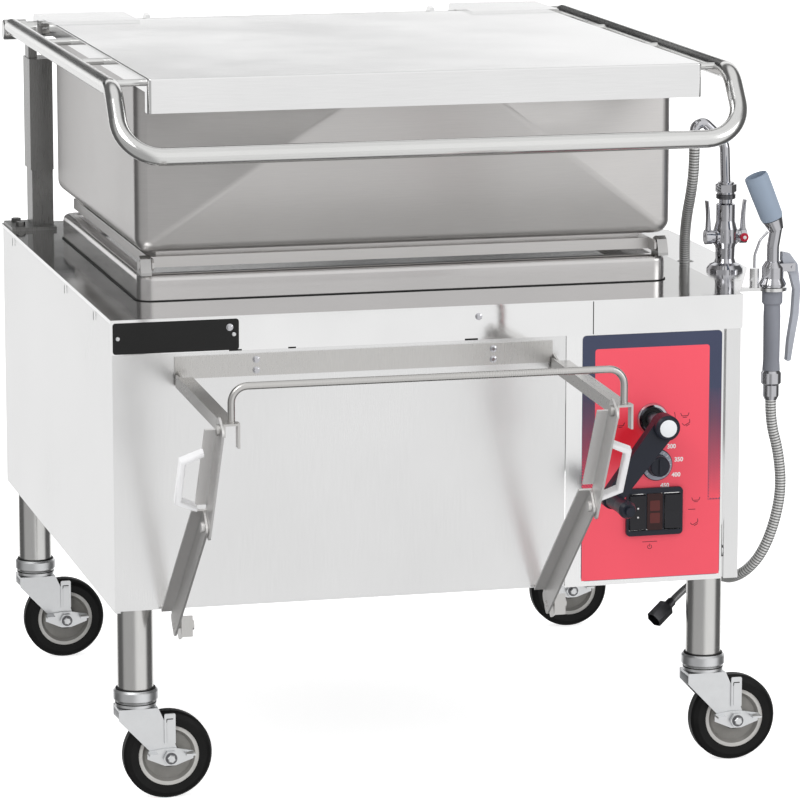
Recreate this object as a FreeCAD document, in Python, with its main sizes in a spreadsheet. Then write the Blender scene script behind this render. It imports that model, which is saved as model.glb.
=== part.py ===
import FreeCAD, Part
import math
import os
import re
import Sketcher

Vector = FreeCAD.Vector
doc = FreeCAD.newDocument("TiltingBrattPan")
sheet = doc.addObject("Spreadsheet::Sheet", "Sizes")

# Driving sizes in millimetres, x to the right, y to the back, z up from the floor.
sizes = {
    # where the origin lies, measured from the middle of the cabinet
    "originRight": 60.2, "originBack": -166.9,
    # cabinet
    "cabinetWidth": 914.4, "cabinetDepth": 939, "deckHeight": 694.6, "cabinetBottom": 280.6,
    "sheetGauge": 2, "deckApron": 49, "deckLip": 5, "panelReturn": 8, "frameAngle": 30, "frameGauge": 3,
    "collarHalfWidth": 390, "collarFront": -327, "collarBack": 306, "collarHeight": 38,
    "collarCorner": 22, "collarEdge": 9, "collarFlange": 20,
    "frontPanelRight": 195, "columnGap": 1.3, "columnRight": 430, "stripWidth": 21.5,
    "panelDrop": 6.5, "screwHead": 5, "screwRise": 1.6,
    # legs and casters
    "legRadius": 25.4, "legGauge": 2, "legInsetSide": 38, "legInsetFront": 47, "legInsetBack": 46,
    "casterTop": 146.5, "legInside": 70, "socketRadius": 30.5, "socketHeight": 14,
    "wheelRadius": 63.5, "wheelWidth": 32, "hubRadius": 43, "hubWidth": 34, "casterTrail": 44,
    "axleRadius": 6, "runningFit": 0.05, "forkGauge": 3.5, "forkInside": 38, "headRadius": 29,
    "headHeight": 11, "forkBridge": 4, "swivelGap": 0.3, "pedalReach": 33, "pedalGauge": 3,
    # hinge posts and the cradles for the lid shaft
    "postWidth": 36, "postDepth": 58, "postLeft": 421, "postOffset": -44, "postStep": 92,
    "postFlange": 5, "shaftBack": 425, "shaftOffset": -6, "shaftRadius": 12.5, "drumRadius": 16,
    "drumLength": 36, "shaftHalfLength": 457, "cradleWidth": 13.5, "cradleGap": 1.6,
    # pan
    "panHalfWidth": 393, "panFront": -329, "panBack": 330, "panBottom": 764, "panTop": 1010,
    "panWall": 3, "panCorner": 22, "panEdge": 20, "lipReach": 96, "lipHalfWidth": 63,
    "panFrameHalf": 371, "panFrameDepth": 300, "panFrameHeight": 15.5, "panFrameGap": 10,
    "tiltForward": -318, "tiltHeight": 746, "trunnionRadius": 7, "bearingWidth": 15,
    "bearingRadius": 13.4, "heaterMargin": 61, "heaterWidth": 70, "heaterHeight": 16,
    # lid and its rail
    "lidHalfWidth": 398, "lidFront": -450, "lidBack": 347, "lidOffset": 14, "lidSkirt": 48,
    "lidFlange": 20, "lidCorner": 6, "armWidth": 142, "armInner": 264, "armGauge": 3,
    "bracketInner": 226, "bracketGauge": 7,
    "railRadius": 12.7, "railHalfWidth": 444, "railOffset": -14, "railFront": -508,
    "railDrop": 86, "railKnee": -440, "railBend": 45, "railCorner": 58, "standoffRadius": 5,
    "standoffBack": 146, "standoffPitch": 270,
    # control panel
    "overlayLeft": 220, "overlayWidth": 207, "overlayBottom": 288, "overlayHeight": 356,
    "overlayGauge": 0.8, "overlayCorner": 6,
    "crankRight": 324, "crankHeight": 520, "crankThrow": 127, "crankTurn": 52, "crankHub": 18,
    "crankEnd": 14, "crankGauge": 24, "crankStandoff": 46, "shaftOut": 10, "bezelRadius": 23,
    "bezelDepth": 6, "gripRadius": 11.5, "gripLength": 78,
    "dialRight": 331, "dialOffset": -67, "skirtRadius": 23, "knobRadius": 14.5, "knobDepth": 19,
    "switchLeft": 285.5, "switchWidth": 84, "switchOffset": -102, "switchHeight": 69,
    "switchDepth": 5, "rockerWidth": 23, "rockerHeight": 53, "rockerDepth": 4, "switchGap": 0.6,
    "wormRadius": 14, "wheelTeeth": 24, "wormWheelRadius": 38, "wormWheelWidth": 18,
    # receiving pan support
    "supportLeft": -368, "supportPitch": 540, "plateBottom": 609, "plateHeight": 31,
    "plateGauge": 3, "pivotForward": -484, "pivotHeight": 607, "armReach": 300, "armDrop": 9,
    "armHeight": 18, "armFlange": 20, "armPlate": 3, "linkPlate": 3, "linkGap": 0.6,
    "linkFlange": 16, "linkEnd": 11, "linkCorner": 7, "upperFront": 19, "upperRear": 17,
    "lowerFront": 13, "lowerRear": 22, "kneeForward": -697, "kneeHeight": 449, "footForward": -482,
    "footHeight": 262, "rodRadius": 5, "rodRise": 48, "rodBend": 22, "pinRadius": 5,
    "gripReach": 28, "gripSpan": 92, "gripThick": 5, "gripWidth": 10, "gripStart": 52,
    # faucet, spray valve and hoses
    "shelfOut": 83, "shelfGauge": 3, "faucetRight": 500, "faucetForward": -257,
    "valveRight": 542, "valveForward": -350, "hoseDiameter": 16, "hoseHole": 13,
    "supplyDiameter": 11, "nutFlats": 22, "nutLength": 30, "nutBore": 10.5,
}


# Heights that sit a set distance above or below another one.
followers = {"lidTop": ("panTop", "lidOffset"), "shaftHeight": ("panTop", "shaftOffset"),
             "railHeight": ("lidTop", "railOffset"), "postTop": ("shaftHeight", "postOffset"),
             "dialHeight": ("crankHeight", "dialOffset"), "switchBottom": ("dialHeight", "switchOffset")}


def fill_sheet():
    for row, (name, value) in enumerate(sizes.items(), 1):
        sheet.set("A%d" % row, name)
        sheet.set("B%d" % row, str(value))
        sheet.setAlias("B%d" % row, name)
    doc.recompute()


fill_sheet()


class SheetSizes:
    """Reads a size from the sheet by its alias, or adds up a height that follows another."""

    def __getattr__(self, name):
        if name in followers:
            return sum(getattr(self, term) for term in followers[name])
        return float(sheet.get(name))


size = SheetSizes()
subParts = []


# Helpers that put solids into the document with their sizes bound to the sheet.

def bound(expression):
    def alias(word):
        name = word.group(0)
        if name in followers:
            return "(%s)" % bound(" + ".join(followers[name]))
        return "Sizes." + name if name in sizes else name
    return re.sub(r"[A-Za-z]\w*", alias, str(expression))


def bind(solid, prop, expression):
    solid.setExpression(prop, bound(expression))


def locate(solid, at):
    for axis, expression in zip("xyz", at):
        bind(solid, "Placement.Base." + axis, expression)


def block(name, length, width, height, at):
    solid = doc.addObject("Part::Box", name)
    bind(solid, "Length", length)
    bind(solid, "Width", width)
    bind(solid, "Height", height)
    locate(solid, at)
    return solid


def turn_to(axis):
    """The rotation that lays a solid made along z along another axis."""
    turns = {
        "z": FreeCAD.Rotation(),
        "x": FreeCAD.Rotation(Vector(0, 1, 0), 90),
        "y": FreeCAD.Rotation(Vector(1, 0, 0), -90),
        "-y": FreeCAD.Rotation(Vector(1, 0, 0), 90),
    }
    return turns[axis]


def rod(name, radius, length, at, axis="z"):
    solid = doc.addObject("Part::Cylinder", name)
    bind(solid, "Radius", radius)
    bind(solid, "Height", length)
    solid.Placement = FreeCAD.Placement(Vector(), turn_to(axis))
    locate(solid, at)
    return solid


def hexagon(name, flats, length, at, axis="z"):
    solid = doc.addObject("Part::Prism", name)
    solid.Polygon = 6
    bind(solid, "Circumradius", "(%s) / sqrt(3)" % flats)
    bind(solid, "Height", length)
    solid.Placement = FreeCAD.Placement(Vector(), turn_to(axis))
    locate(solid, at)
    return solid


def origin_plane(body, role):
    return next(feature for feature in body.Origin.OriginFeatures if feature.Role == role)


def outline_sketch(body, plane, points):
    """A closed polygon whose corners are tied to the sheet, two expressions for each corner."""
    sketch = body.newObject("Sketcher::SketchObject", body.Name + "Outline")
    sketch.AttachmentSupport = [(origin_plane(body, plane), "")]
    sketch.MapMode = "FlatFace"
    count = len(points)
    ring = [Vector(math.cos(2 * math.pi * k / count), math.sin(2 * math.pi * k / count), 0)
            for k in range(count)]
    for k in range(count):
        sketch.addGeometry(Part.LineSegment(ring[k], ring[(k + 1) % count]))
    for k in range(count):
        sketch.addConstraint(Sketcher.Constraint("Coincident", k, 2, (k + 1) % count, 1))
    for k, corner in enumerate(points):
        for kind, expression in zip(("DistanceX", "DistanceY"), corner):
            index = sketch.addConstraint(Sketcher.Constraint(kind, -1, 1, k, 1, 1.0))
            bind(sketch, "Constraints[%d]" % index, expression)
    return sketch


def prism(name, plane, points, depth, at=(0, 0, 0)):
    """A plate padded from an outline in the XY, XZ or YZ plane; XZ grows towards -y."""
    body = doc.addObject("PartDesign::Body", name)
    sketch = outline_sketch(body, plane + "_Plane", points)
    pad = body.newObject("PartDesign::Pad", name + "Pad")
    pad.Profile = sketch
    bind(pad, "Length", depth)
    locate(body, at)
    return body


def lathe(name, points, at=(0, 0, 0), axis="z"):
    """A turned solid; each point is a radius and a distance along the axis."""
    body = doc.addObject("PartDesign::Body", name)
    sketch = outline_sketch(body, "XZ_Plane", points)
    turned = body.newObject("PartDesign::Revolution", name + "Turn")
    turned.Profile = sketch
    turned.ReferenceAxis = (sketch, ["V_Axis"])
    turned.Angle = 360
    body.Placement = FreeCAD.Placement(Vector(), turn_to(axis))
    locate(body, at)
    return body


def soften(body, radius, chosen):
    """Rounds the edges of a body that the test picks from its last feature."""
    doc.recompute()
    base = body.Tip
    names = ["Edge%d" % k for k, edge in enumerate(base.Shape.Edges, 1) if chosen(edge)]
    fillet = body.newObject("PartDesign::Fillet", body.Name + "Round%d" % len(body.Group))
    fillet.Base = (base, names)
    bind(fillet, "Radius", radius)
    body.Tip = fillet
    return body


def upright(edge):
    first, last = edge.Vertexes[0].Point, edge.Vertexes[-1].Point
    return abs(first.x - last.x) + abs(first.y - last.y) < 0.01 < abs(first.z - last.z)


def at_height(edge, height):
    return abs(edge.BoundBox.ZMin - height) + abs(edge.BoundBox.ZMax - height) < 0.02


def along_pad(axis):
    def chosen(edge):
        first, last = edge.Vertexes[0].Point, edge.Vertexes[-1].Point
        step = last - first
        return abs(abs(getattr(step, axis)) - step.Length) < 0.001 and step.Length > 0
    return chosen


def fuse(name, *parts):
    solid = doc.addObject("Part::MultiFuse", name)
    solid.Shapes = list(parts)
    solid.Refine = True
    return solid


def cut(name, base, *tools):
    solid = doc.addObject("Part::Cut", name)
    solid.Base = base
    solid.Tool = tools[0] if len(tools) == 1 else fuse(name + "Tools", *tools)
    return solid


def mirror(name, source, normal=Vector(1, 0, 0), middle=0):
    solid = doc.addObject("Part::Mirroring", name)
    solid.Source = source
    solid.Normal = normal
    solid.Base = (middle, 0, 0)
    return solid


def copy_at(name, source, at):
    solid = doc.addObject("Part::Compound", name)
    solid.Links = [source]
    locate(solid, at)
    return solid


def keep(label, *parts):
    """Makes a sub-part of one or more separate solids and moves it to the origin's frame."""
    whole = doc.addObject("Part::Compound", "node_" + label)
    whole.Links = list(parts)
    whole.Label = label
    locate(whole, ("-originRight", "-originBack", 0))
    subParts.append(whole)
    return whole


def keep_shape(label, *shapes):
    """Makes a sub-part of shapes that were worked out from the sheet."""
    whole = doc.addObject("Part::Feature", "node_" + label)
    whole.Shape = Part.Compound(list(shapes)) if len(shapes) > 1 else shapes[0]
    whole.Label = label
    whole.Placement = FreeCAD.Placement(Vector(-size.originRight, -size.originBack, 0), FreeCAD.Rotation())
    subParts.append(whole)
    return whole


def bent_path(points, bends):
    """Straight runs joined by tangent arcs, one bend radius for each inner point."""
    edges = []
    start = points[0]
    for k in range(1, len(points) - 1):
        before = (points[k - 1] - points[k]).normalize()
        after = (points[k + 1] - points[k]).normalize()
        half = (math.pi - before.getAngle(after)) / 2
        reach = bends[k - 1] * math.tan(half)
        first = points[k] + before * reach
        last = points[k] + after * reach
        bisector = (before + after).normalize()
        middle = points[k] + bisector * (bends[k - 1] / math.cos(half) - bends[k - 1])
        edges.append(Part.LineSegment(start, first).toShape())
        edges.append(Part.Arc(first, middle, last).toShape())
        start = last
    edges.append(Part.LineSegment(start, points[-1]).toShape())
    return Part.Wire(edges)


def bent_tube(points, radius, bends):
    path = bent_path(points, bends)
    direction = points[1] - points[0]
    ring = Part.Wire(Part.Circle(points[0], direction, radius).toShape())
    return path.makePipeShell([ring], True, False)


def cord_tube(label, points, diameter):
    """A hose: each arc is as large as its two runs allow."""
    bends = []
    for k in range(1, len(points) - 1):
        before = points[k] - points[k - 1]
        after = points[k + 1] - points[k]
        half = before.getAngle(after) / 2
        bends.append(0.45 * min(before.Length, after.Length) / math.tan(half))
    tube = bent_tube(points, diameter / 2, bends)
    length = bent_path(points, bends).Length
    section = math.pi * diameter * diameter / 4
    print(label, "length %.0f, volume ratio %.4f, tightest bend %.0f of %s"
          % (length, tube.Volume / (section * length), min(bends), [round(bend) for bend in bends]))
    keep_shape(label, tube)


# Cabinet

def rounded_block(name, length, width, height, at, corner, edge):
    body = prism(name, "XY", [(0, 0), (length, 0), (length, width), (0, width)], height, at)
    soften(body, corner, upright)
    doc.recompute()
    top = body.Tip.Shape.BoundBox.ZMax
    soften(body, edge, lambda line: at_height(line, top))
    return body


def make_deck():
    left, front = "-cabinetWidth / 2", "-cabinetDepth / 2"
    top = block("deckTop", "cabinetWidth", "cabinetDepth", "sheetGauge",
                (left, front, "deckHeight - sheetGauge"))
    apron = block("deckApronSheet", "cabinetWidth", "sheetGauge", "deckApron",
                  (left, front, "deckHeight - deckApron"))
    leftLip = block("deckLeftLip", "sheetGauge", "cabinetDepth", "deckLip",
                    (left, front, "deckHeight - deckLip"))
    rightLip = block("deckRightLip", "sheetGauge", "cabinetDepth", "deckLip",
                     ("cabinetWidth / 2 - sheetGauge", front, "deckHeight - deckLip"))
    rearLip = block("deckRearLip", "cabinetWidth", "sheetGauge", "deckLip",
                    (left, "cabinetDepth / 2 - sheetGauge", "deckHeight - deckLip"))
    well = block("deckWell", "2 * (collarHalfWidth - collarFlange)",
                 "collarBack - collarFront - 2 * collarFlange", "3 * sheetGauge",
                 ("collarFlange - collarHalfWidth", "collarFront + collarFlange",
                  "deckHeight - 2 * sheetGauge"))
    keep("cabinet_deck", cut("deckOpen", fuse("deckFolded", top, apron, leftLip, rightLip, rearLip), well))


def make_collar():
    outer = rounded_block("collarOuter", "2 * collarHalfWidth", "collarBack - collarFront",
                          "collarHeight", ("-collarHalfWidth", "collarFront", "deckHeight"),
                          "collarCorner", "collarEdge")
    inner = rounded_block("collarInner", "2 * (collarHalfWidth - sheetGauge)",
                          "collarBack - collarFront - 2 * sheetGauge", "collarHeight",
                          ("sheetGauge - collarHalfWidth", "collarFront + sheetGauge",
                           "deckHeight - sheetGauge"),
                          "collarCorner - sheetGauge", "collarEdge - sheetGauge")
    mouth = block("collarMouth", "2 * (collarHalfWidth - collarFlange)",
                  "collarBack - collarFront - 2 * collarFlange", "2 * collarHeight",
                  ("collarFlange - collarHalfWidth", "collarFront + collarFlange", "deckHeight"))
    keep("pan_collar", cut("collarOpen", outer, inner, mouth))


def side_panel(name, edge, sign):
    """A sheet with a return along its foot, folded inwards."""
    inward = "%s * -1" % sign
    return prism(name, "XZ",
                 [(edge, "cabinetBottom"), (edge, "deckHeight - sheetGauge"),
                  ("%s + %s * sheetGauge" % (edge, inward), "deckHeight - sheetGauge"),
                  ("%s + %s * sheetGauge" % (edge, inward), "cabinetBottom + sheetGauge"),
                  ("%s + %s * panelReturn" % (edge, inward), "cabinetBottom + sheetGauge"),
                  ("%s + %s * panelReturn" % (edge, inward), "cabinetBottom")],
                 "cabinetDepth - 2 * sheetGauge", (0, "cabinetDepth / 2 - sheetGauge", 0))


def make_panels():
    left = side_panel("leftSheet", "sheetGauge - cabinetWidth / 2", "-1")
    right = side_panel("rightSheet", "cabinetWidth / 2 - sheetGauge", "1")
    strip = block("rightStrip", "stripWidth - sheetGauge", "sheetGauge", "deckHeight - sheetGauge - cabinetBottom",
                  ("cabinetWidth / 2 - sheetGauge - stripWidth", "sheetGauge - cabinetDepth / 2",
                   "cabinetBottom"))
    rear = block("rearSheet", "cabinetWidth - 4 * sheetGauge", "sheetGauge",
                 "deckHeight - 2 * sheetGauge - cabinetBottom",
                 ("2 * sheetGauge - cabinetWidth / 2", "cabinetDepth / 2 - 2 * sheetGauge",
                  "cabinetBottom + sheetGauge"))
    keep("cabinet_panels", left, fuse("rightFolded", right, strip), rear)
    keep("front_panel", block("frontSheet", "frontPanelRight + cabinetWidth / 2 - 2 * sheetGauge",
                              "sheetGauge", "deckHeight - sheetGauge - cabinetBottom - panelDrop",
                              ("2 * sheetGauge - cabinetWidth / 2", "sheetGauge - cabinetDepth / 2",
                               "cabinetBottom + panelDrop")))


def control_openings(name, start, depth):
    """Holes for the crank bezel, the thermostat stem and the switch block."""
    return [
        rod(name + "Crank", "bezelRadius - 5", depth, ("crankRight", start, "crankHeight"), "-y"),
        rod(name + "Stem", 5, depth, ("dialRight", start, "dialHeight"), "-y"),
        block(name + "Switch", "switchWidth - 8", depth, "switchHeight - 8",
              ("switchLeft + 4", "%s - (%s)" % (start, depth), "switchBottom + 4")),
    ]


def make_control_column():
    plate = block("columnSheet", "columnRight - frontPanelRight - columnGap", "sheetGauge",
                  "deckHeight - sheetGauge - cabinetBottom",
                  ("frontPanelRight + columnGap", "sheetGauge - cabinetDepth / 2", "cabinetBottom"))
    openings = control_openings("columnHole", "3 * sheetGauge - cabinetDepth / 2", "4 * sheetGauge")
    keep("control_column", cut("columnCut", plate, *openings))
    face = "sheetGauge - cabinetDepth / 2"
    overlay = prism("overlaySheet", "XZ",
                    [("overlayLeft", "overlayBottom"), ("overlayLeft + overlayWidth", "overlayBottom"),
                     ("overlayLeft + overlayWidth", "overlayBottom + overlayHeight"),
                     ("overlayLeft", "overlayBottom + overlayHeight")],
                    "overlayGauge", (0, face, 0))
    soften(overlay, "overlayCorner", along_pad("y"))
    holes = control_openings("overlayHole", face + " + sheetGauge", "2 * sheetGauge")
    keep("control_overlay", cut("overlayCut", overlay, *holes))


def leg_places():
    left, right = "legInsetSide - cabinetWidth / 2", "cabinetWidth / 2 - legInsetSide"
    front, back = "legInsetFront - cabinetDepth / 2", "cabinetDepth / 2 - legInsetBack"
    return {"front_left": (left, front), "front_right": (right, front),
            "rear_left": (left, back), "rear_right": (right, back)}


def make_base_frame():
    def ring(name, inset, low, height):
        across, deep = "cabinetWidth - 4 * sheetGauge - 2 * (%s)" % inset, "cabinetDepth - 4 * sheetGauge - 2 * (%s)" % inset
        return block(name, across, deep, height,
                     ("-(%s) / 2" % across, "-(%s) / 2" % deep, low))
    outer = ring("frameOuter", "0", "cabinetBottom + sheetGauge", "frameAngle")
    middle = ring("frameMiddle", "frameAngle", "cabinetBottom", "2 * frameAngle")
    hollow = ring("frameHollow", "frameGauge", "cabinetBottom + sheetGauge + frameGauge", "frameAngle")
    holes = [rod("frameHole_" + name, "legRadius", "2 * frameAngle", place + ("cabinetBottom",))
             for name, place in leg_places().items()]
    keep("base_frame", cut("frameCut", outer, middle, hollow, *holes))


def make_legs():
    legs = []
    for name, place in leg_places().items():
        tube = rod("legTube_" + name, "legRadius", "cabinetBottom + legInside - casterTop",
                   place + ("casterTop",))
        bore = rod("legBore_" + name, "legRadius - legGauge", "cabinetBottom", place + ("casterTop - 1",))
        socket = lathe("legSocket_" + name,
                       [("legRadius - legGauge / 2", 0), ("socketRadius", 0),
                        ("socketRadius", "socketHeight - 3"), ("socketRadius - 3", "socketHeight"),
                        ("legRadius - legGauge / 2", "socketHeight")], place + ("casterTop",))
        legs.append(fuse("leg_" + name, cut("legHollow_" + name, tube, bore), socket))
    keep("legs", *legs)


def make_posts():
    """Box posts bolted to the deck, each with an open cradle under the lid shaft."""
    left = "-postLeft"
    front = "shaftBack - postDepth / 2"
    sleeve = block("postSleeve", "postWidth", "postDepth", "postTop - deckHeight - postStep",
                   (left, front, "deckHeight + postStep"))
    core = block("postCore", "postWidth - 3", "postDepth - 8", "postTop - deckHeight - 6",
                 (left + " + 3", front + " + 8", "deckHeight"))
    foot = block("postFoot", "postWidth + 34", "postDepth + 26", "postFlange",
                 (left + " - 34", front + " - 20", "deckHeight"))
    hollow = block("postHollow", "postWidth - 11", "postDepth - 16", "postTop",
                   (left + " + 7", front + " + 12", "deckHeight + postFlange"))
    cap = block("postCap", "postWidth", "postDepth", 3, (left, front, "postTop - 3"))
    cradle = block("postCradle", "cradleWidth", "2 * drumRadius", "shaftHeight - postTop - 5",
                   (left + " + 1", "shaftBack - drumRadius", "postTop"))
    bed = rod("postBed", "shaftRadius + cradleGap", "2 * postWidth",
              (left + " - 10", "shaftBack", "shaftHeight"), "x")
    bolts = [hexagon("postBolt%d" % k, 13, 6, (left + " - 17", "shaftBack + %d" % reach,
                                               "deckHeight + postFlange"))
             for k, reach in enumerate((-24, 18))]
    hollowed = cut("postHollowed", fuse("postBody", sleeve, core, foot), hollow)
    post = fuse("postLeftSide", hollowed, cap, cut("postSaddle", cradle, bed), *bolts)
    keep("hinge_posts", post, mirror("postRightSide", post))


def make_fasteners():
    """Pan-head screws on the apron and the back plate of the support."""
    face = "-cabinetDepth / 2"
    plate = "sheetGauge - cabinetDepth / 2 - plateGauge"
    heads = []
    for k, (right, height, start) in enumerate((
            (-290, "deckHeight - 16", face), (67, "deckHeight - 16", face),
            (-253, "plateBottom + 8", plate), (-253, "plateBottom + 23", plate),
            (88, "plateBottom + 8", plate), (88, "plateBottom + 23", plate))):
        heads.append(lathe("screwHead%d" % k,
                           [(0, 0), ("screwHead", 0), ("screwHead", "screwRise / 2"),
                            ("screwHead / 2", "screwRise"), (0, "screwRise")],
                           (right, start, height), "-y"))
    keep("panel_screws", *heads)


# Pan

def pan_volume(name, wall):
    """The outside of the pan, or its inside when a wall is taken off all round."""
    half, front = "panHalfWidth - %s" % wall, "panFront + %s" % wall
    tip, tipHalf = "panFront - lipReach + 1.5 * (%s)" % wall, "lipHalfWidth"
    low, tall = "panBottom + %s" % wall, "panTop - panBottom"
    body = prism(name, "XY",
                 [("-(%s)" % half, "panBack - %s" % wall), ("-(%s)" % half, front), ("-%s" % tipHalf, tip),
                  (tipHalf, tip), (half, front), (half, "panBack - %s" % wall)],
                 tall, (0, 0, low))
    soften(body, "panCorner - %s" % wall,
           lambda edge: upright(edge) and abs(abs(edge.BoundBox.XMin) - size.panHalfWidth) < 10)
    doc.recompute()
    bottom = body.Tip.Shape.BoundBox.ZMin
    soften(body, "panEdge - %s" % wall, lambda edge: at_height(edge, bottom))
    slope_lip(body, name, front)
    soften(body, "panEdge - %s" % wall,
           lambda edge: at_height(edge, bottom) and edge.BoundBox.YLength < 1 and edge.BoundBox.YMin < 0)
    return body


def slope_lip(body, name, front):
    """Cuts away the underside of the bow, so that the lip slopes up from the pan's bottom."""
    slope = body.newObject("Sketcher::SketchObject", name + "Slope")
    slope.AttachmentSupport = [(origin_plane(body, "YZ_Plane"), "")]
    slope.MapMode = "FlatFace"
    reach = size.lipReach * 2
    corners = [Vector(0, 0, 0), Vector(-reach, 0, 0), Vector(-reach, 9, 0)]
    for k in range(3):
        slope.addGeometry(Part.LineSegment(corners[k], corners[(k + 1) % 3]))
    for k in range(3):
        slope.addConstraint(Sketcher.Constraint("Coincident", k, 2, (k + 1) % 3, 1))
    ties = [(0, front, 0), (1, front + " - 2 * lipReach", 0),
            (2, front + " - 2 * lipReach", "2 * (panTop - panBottom)")]
    for k, across, up in ties:
        for kind, expression in (("DistanceX", across), ("DistanceY", up)):
            index = slope.addConstraint(Sketcher.Constraint(kind, -1, 1, k, 1, 1.0))
            bind(slope, "Constraints[%d]" % index, expression)
    wedge = body.newObject("PartDesign::Pocket", name + "LipCut")
    wedge.Profile = slope
    wedge.Type = 1
    wedge.Midplane = True
    body.Tip = wedge


def make_pan():
    outer = pan_volume("panOutside", "0")
    inner = pan_volume("panInside", "panWall")
    keep("pan_shell", cut("panHollow", outer, inner))


def make_pan_frame():
    """A folded ring under the pan with an ear and a trunnion pin at each front corner."""
    half, deep = "panFrameHalf", "panFrameDepth"
    low = "panBottom - panFrameGap - panFrameHeight"

    def ring(name, inset, start, height):
        return block(name, "2 * (%s - (%s))" % (half, inset), "2 * (%s - (%s))" % (deep, inset), height,
                     ("-(%s - (%s))" % (half, inset), "-(%s - (%s))" % (deep, inset), start))
    skirt = cut("skirtRing", ring("skirtOuter", 0, low, "panFrameHeight"),
                ring("skirtInner", "sheetGauge + 1", low + " - 3", "panFrameHeight"),
                ring("skirtMouth", 34, low, "2 * panFrameHeight"))
    riser = cut("riserRing", ring("riserOuter", 14, "panBottom - panFrameGap", "panFrameGap"),
                ring("riserInner", 18, "panBottom - 2 * panFrameGap", "3 * panFrameGap"))
    ear = prism("earOutline", "YZ",
                [("-panFrameDepth + 24", low), ("-panFrameDepth + 24", low + " + panFrameHeight"),
                 ("tiltForward - 6", "tiltHeight + 9"), ("tiltForward - 12", "tiltHeight + 4"),
                 ("tiltForward - 12", "tiltHeight - 4"), ("tiltForward - 6", "tiltHeight - 8")],
                3, ("-panFrameHalf", 0, 0))
    pin = rod("earPin", "trunnionRadius", "bearingWidth + 4",
              ("-panFrameHalf - bearingWidth - 2.5", "tiltForward", "tiltHeight"), "x")
    side = fuse("earSide", ear, pin)
    keep("pan_frame", fuse("panFrameWhole", skirt, riser, side, mirror("earOtherSide", side)))


def make_tilt_bearings():
    base = "deckHeight + collarHeight"
    outline = [("tiltForward - 17", base), ("tiltForward + 17", base), ("tiltForward + 17", base + " + 4"),
               ("tiltForward + bearingRadius", "tiltHeight"),
               ("tiltForward + 0.7 * bearingRadius", "tiltHeight + 0.7 * bearingRadius"),
               ("tiltForward", "tiltHeight + bearingRadius"),
               ("tiltForward - 0.7 * bearingRadius", "tiltHeight + 0.7 * bearingRadius"),
               ("tiltForward - bearingRadius", "tiltHeight"), ("tiltForward - 17", base + " + 4")]
    block_ = prism("bearingBlock", "YZ", outline, "bearingWidth",
                   ("-panFrameHalf - bearingWidth - 1.5", 0, 0))
    bore = rod("bearingBore", "trunnionRadius + runningFit", "bearingWidth + 8",
               ("-panFrameHalf - bearingWidth - 5", "tiltForward", "tiltHeight"), "x")
    side = cut("bearingLeft", block_, bore)
    keep("tilt_bearings", side, mirror("bearingRight", side))


def make_heaters():
    bars = [block("heaterBar%d" % k, "2 * (panFrameHalf - heaterMargin)", "heaterWidth", "heaterHeight",
                  ("heaterMargin - panFrameHalf", "%d * 1.7 * heaterWidth - heaterWidth / 2" % k,
                   "panBottom - heaterHeight")) for k in (-1, 0, 1)]
    keep("heater_blocks", *bars)


def make_lid_brackets():
    """Ears behind the pan whose bores carry the lid shaft."""
    outline = [("panBack", "panTop - 130"), ("panBack", "panTop - 20"),
               ("shaftBack - 20", "shaftHeight + 6"), ("shaftBack - 11", "shaftHeight + 18"),
               ("shaftBack + 4", "shaftHeight + 21"), ("shaftBack + 18", "shaftHeight + 11"),
               ("shaftBack + 20", "shaftHeight - 8"), ("shaftBack + 8", "shaftHeight - 22"),
               ("panBack + 30", "panTop - 120")]
    ear = prism("lidEar", "YZ", outline, "bracketGauge", ("-bracketInner - bracketGauge", 0, 0))
    pad = block("lidEarPad", 60, 4, 104, ("-bracketInner - bracketGauge / 2 - 30", "panBack", "panTop - 127"))
    bore = rod("lidEarBore", "shaftRadius + runningFit", 40,
               ("-bracketInner - 20", "shaftBack", "shaftHeight"), "x")
    side = cut("lidEarLeft", fuse("lidEarSolid", ear, pad), bore)
    keep("lid_hinge_brackets", side, mirror("lidEarRight", side))


# Lid

def make_lid():
    """A folded tray upside down: deep front skirt, short side and rear flanges."""
    width, deep = "2 * lidHalfWidth", "lidBack - lidFront"
    skin = "sheetGauge"
    outer = rounded_block("lidOuter", width, deep, "lidSkirt",
                          ("-lidHalfWidth", "lidFront", "lidTop - lidSkirt"), "lidCorner", skin)
    inner = block("lidInner", "%s - 2 * %s" % (width, skin), "%s - 2 * %s" % (deep, skin), "lidSkirt",
                  ("%s - lidHalfWidth" % skin, "lidFront + %s" % skin, "lidTop - lidSkirt - %s" % skin))
    relief = block("lidRelief", width + " + 20", deep, "lidSkirt - lidFlange",
                   ("-lidHalfWidth - 10", "lidFront + 20", "lidTop - lidSkirt"))
    keep("lid_shell", cut("lidTray", outer, inner, relief))


def make_hinge_arms():
    """Folded arms that run from the lid's top back over the shaft and clamp it."""
    outline = [("lidBack - 45", "lidTop"), ("lidBack - 45", "lidTop + armGauge"),
               ("shaftBack + 14", "lidTop + armGauge"), ("shaftBack + 20", "lidTop - 3"),
               ("shaftBack + 20", "shaftHeight - 6"), ("shaftBack + 12", "shaftHeight - 17"),
               ("shaftBack - 12", "shaftHeight - 17"), ("shaftBack - 20", "shaftHeight - 6"),
               ("shaftBack - 20", "lidTop - 4"), ("lidBack + 2", "lidTop - 4"), ("lidBack + 2", "lidTop")]
    arm = prism("armOutline", "YZ", outline, "armWidth", ("armInner", 0, 0))
    hollow = block("armHollow", "armWidth - 16", 80, 60,
                   ("armInner + 8", "shaftBack - 40", "lidTop - 60"))
    bore = rod("armBore", "shaftRadius", "2 * armWidth", ("armInner - 20", "shaftBack", "shaftHeight"), "x")
    right = cut("armRight", arm, hollow, bore)
    keep("lid_hinge_arms", right, mirror("armLeft", right))


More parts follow.
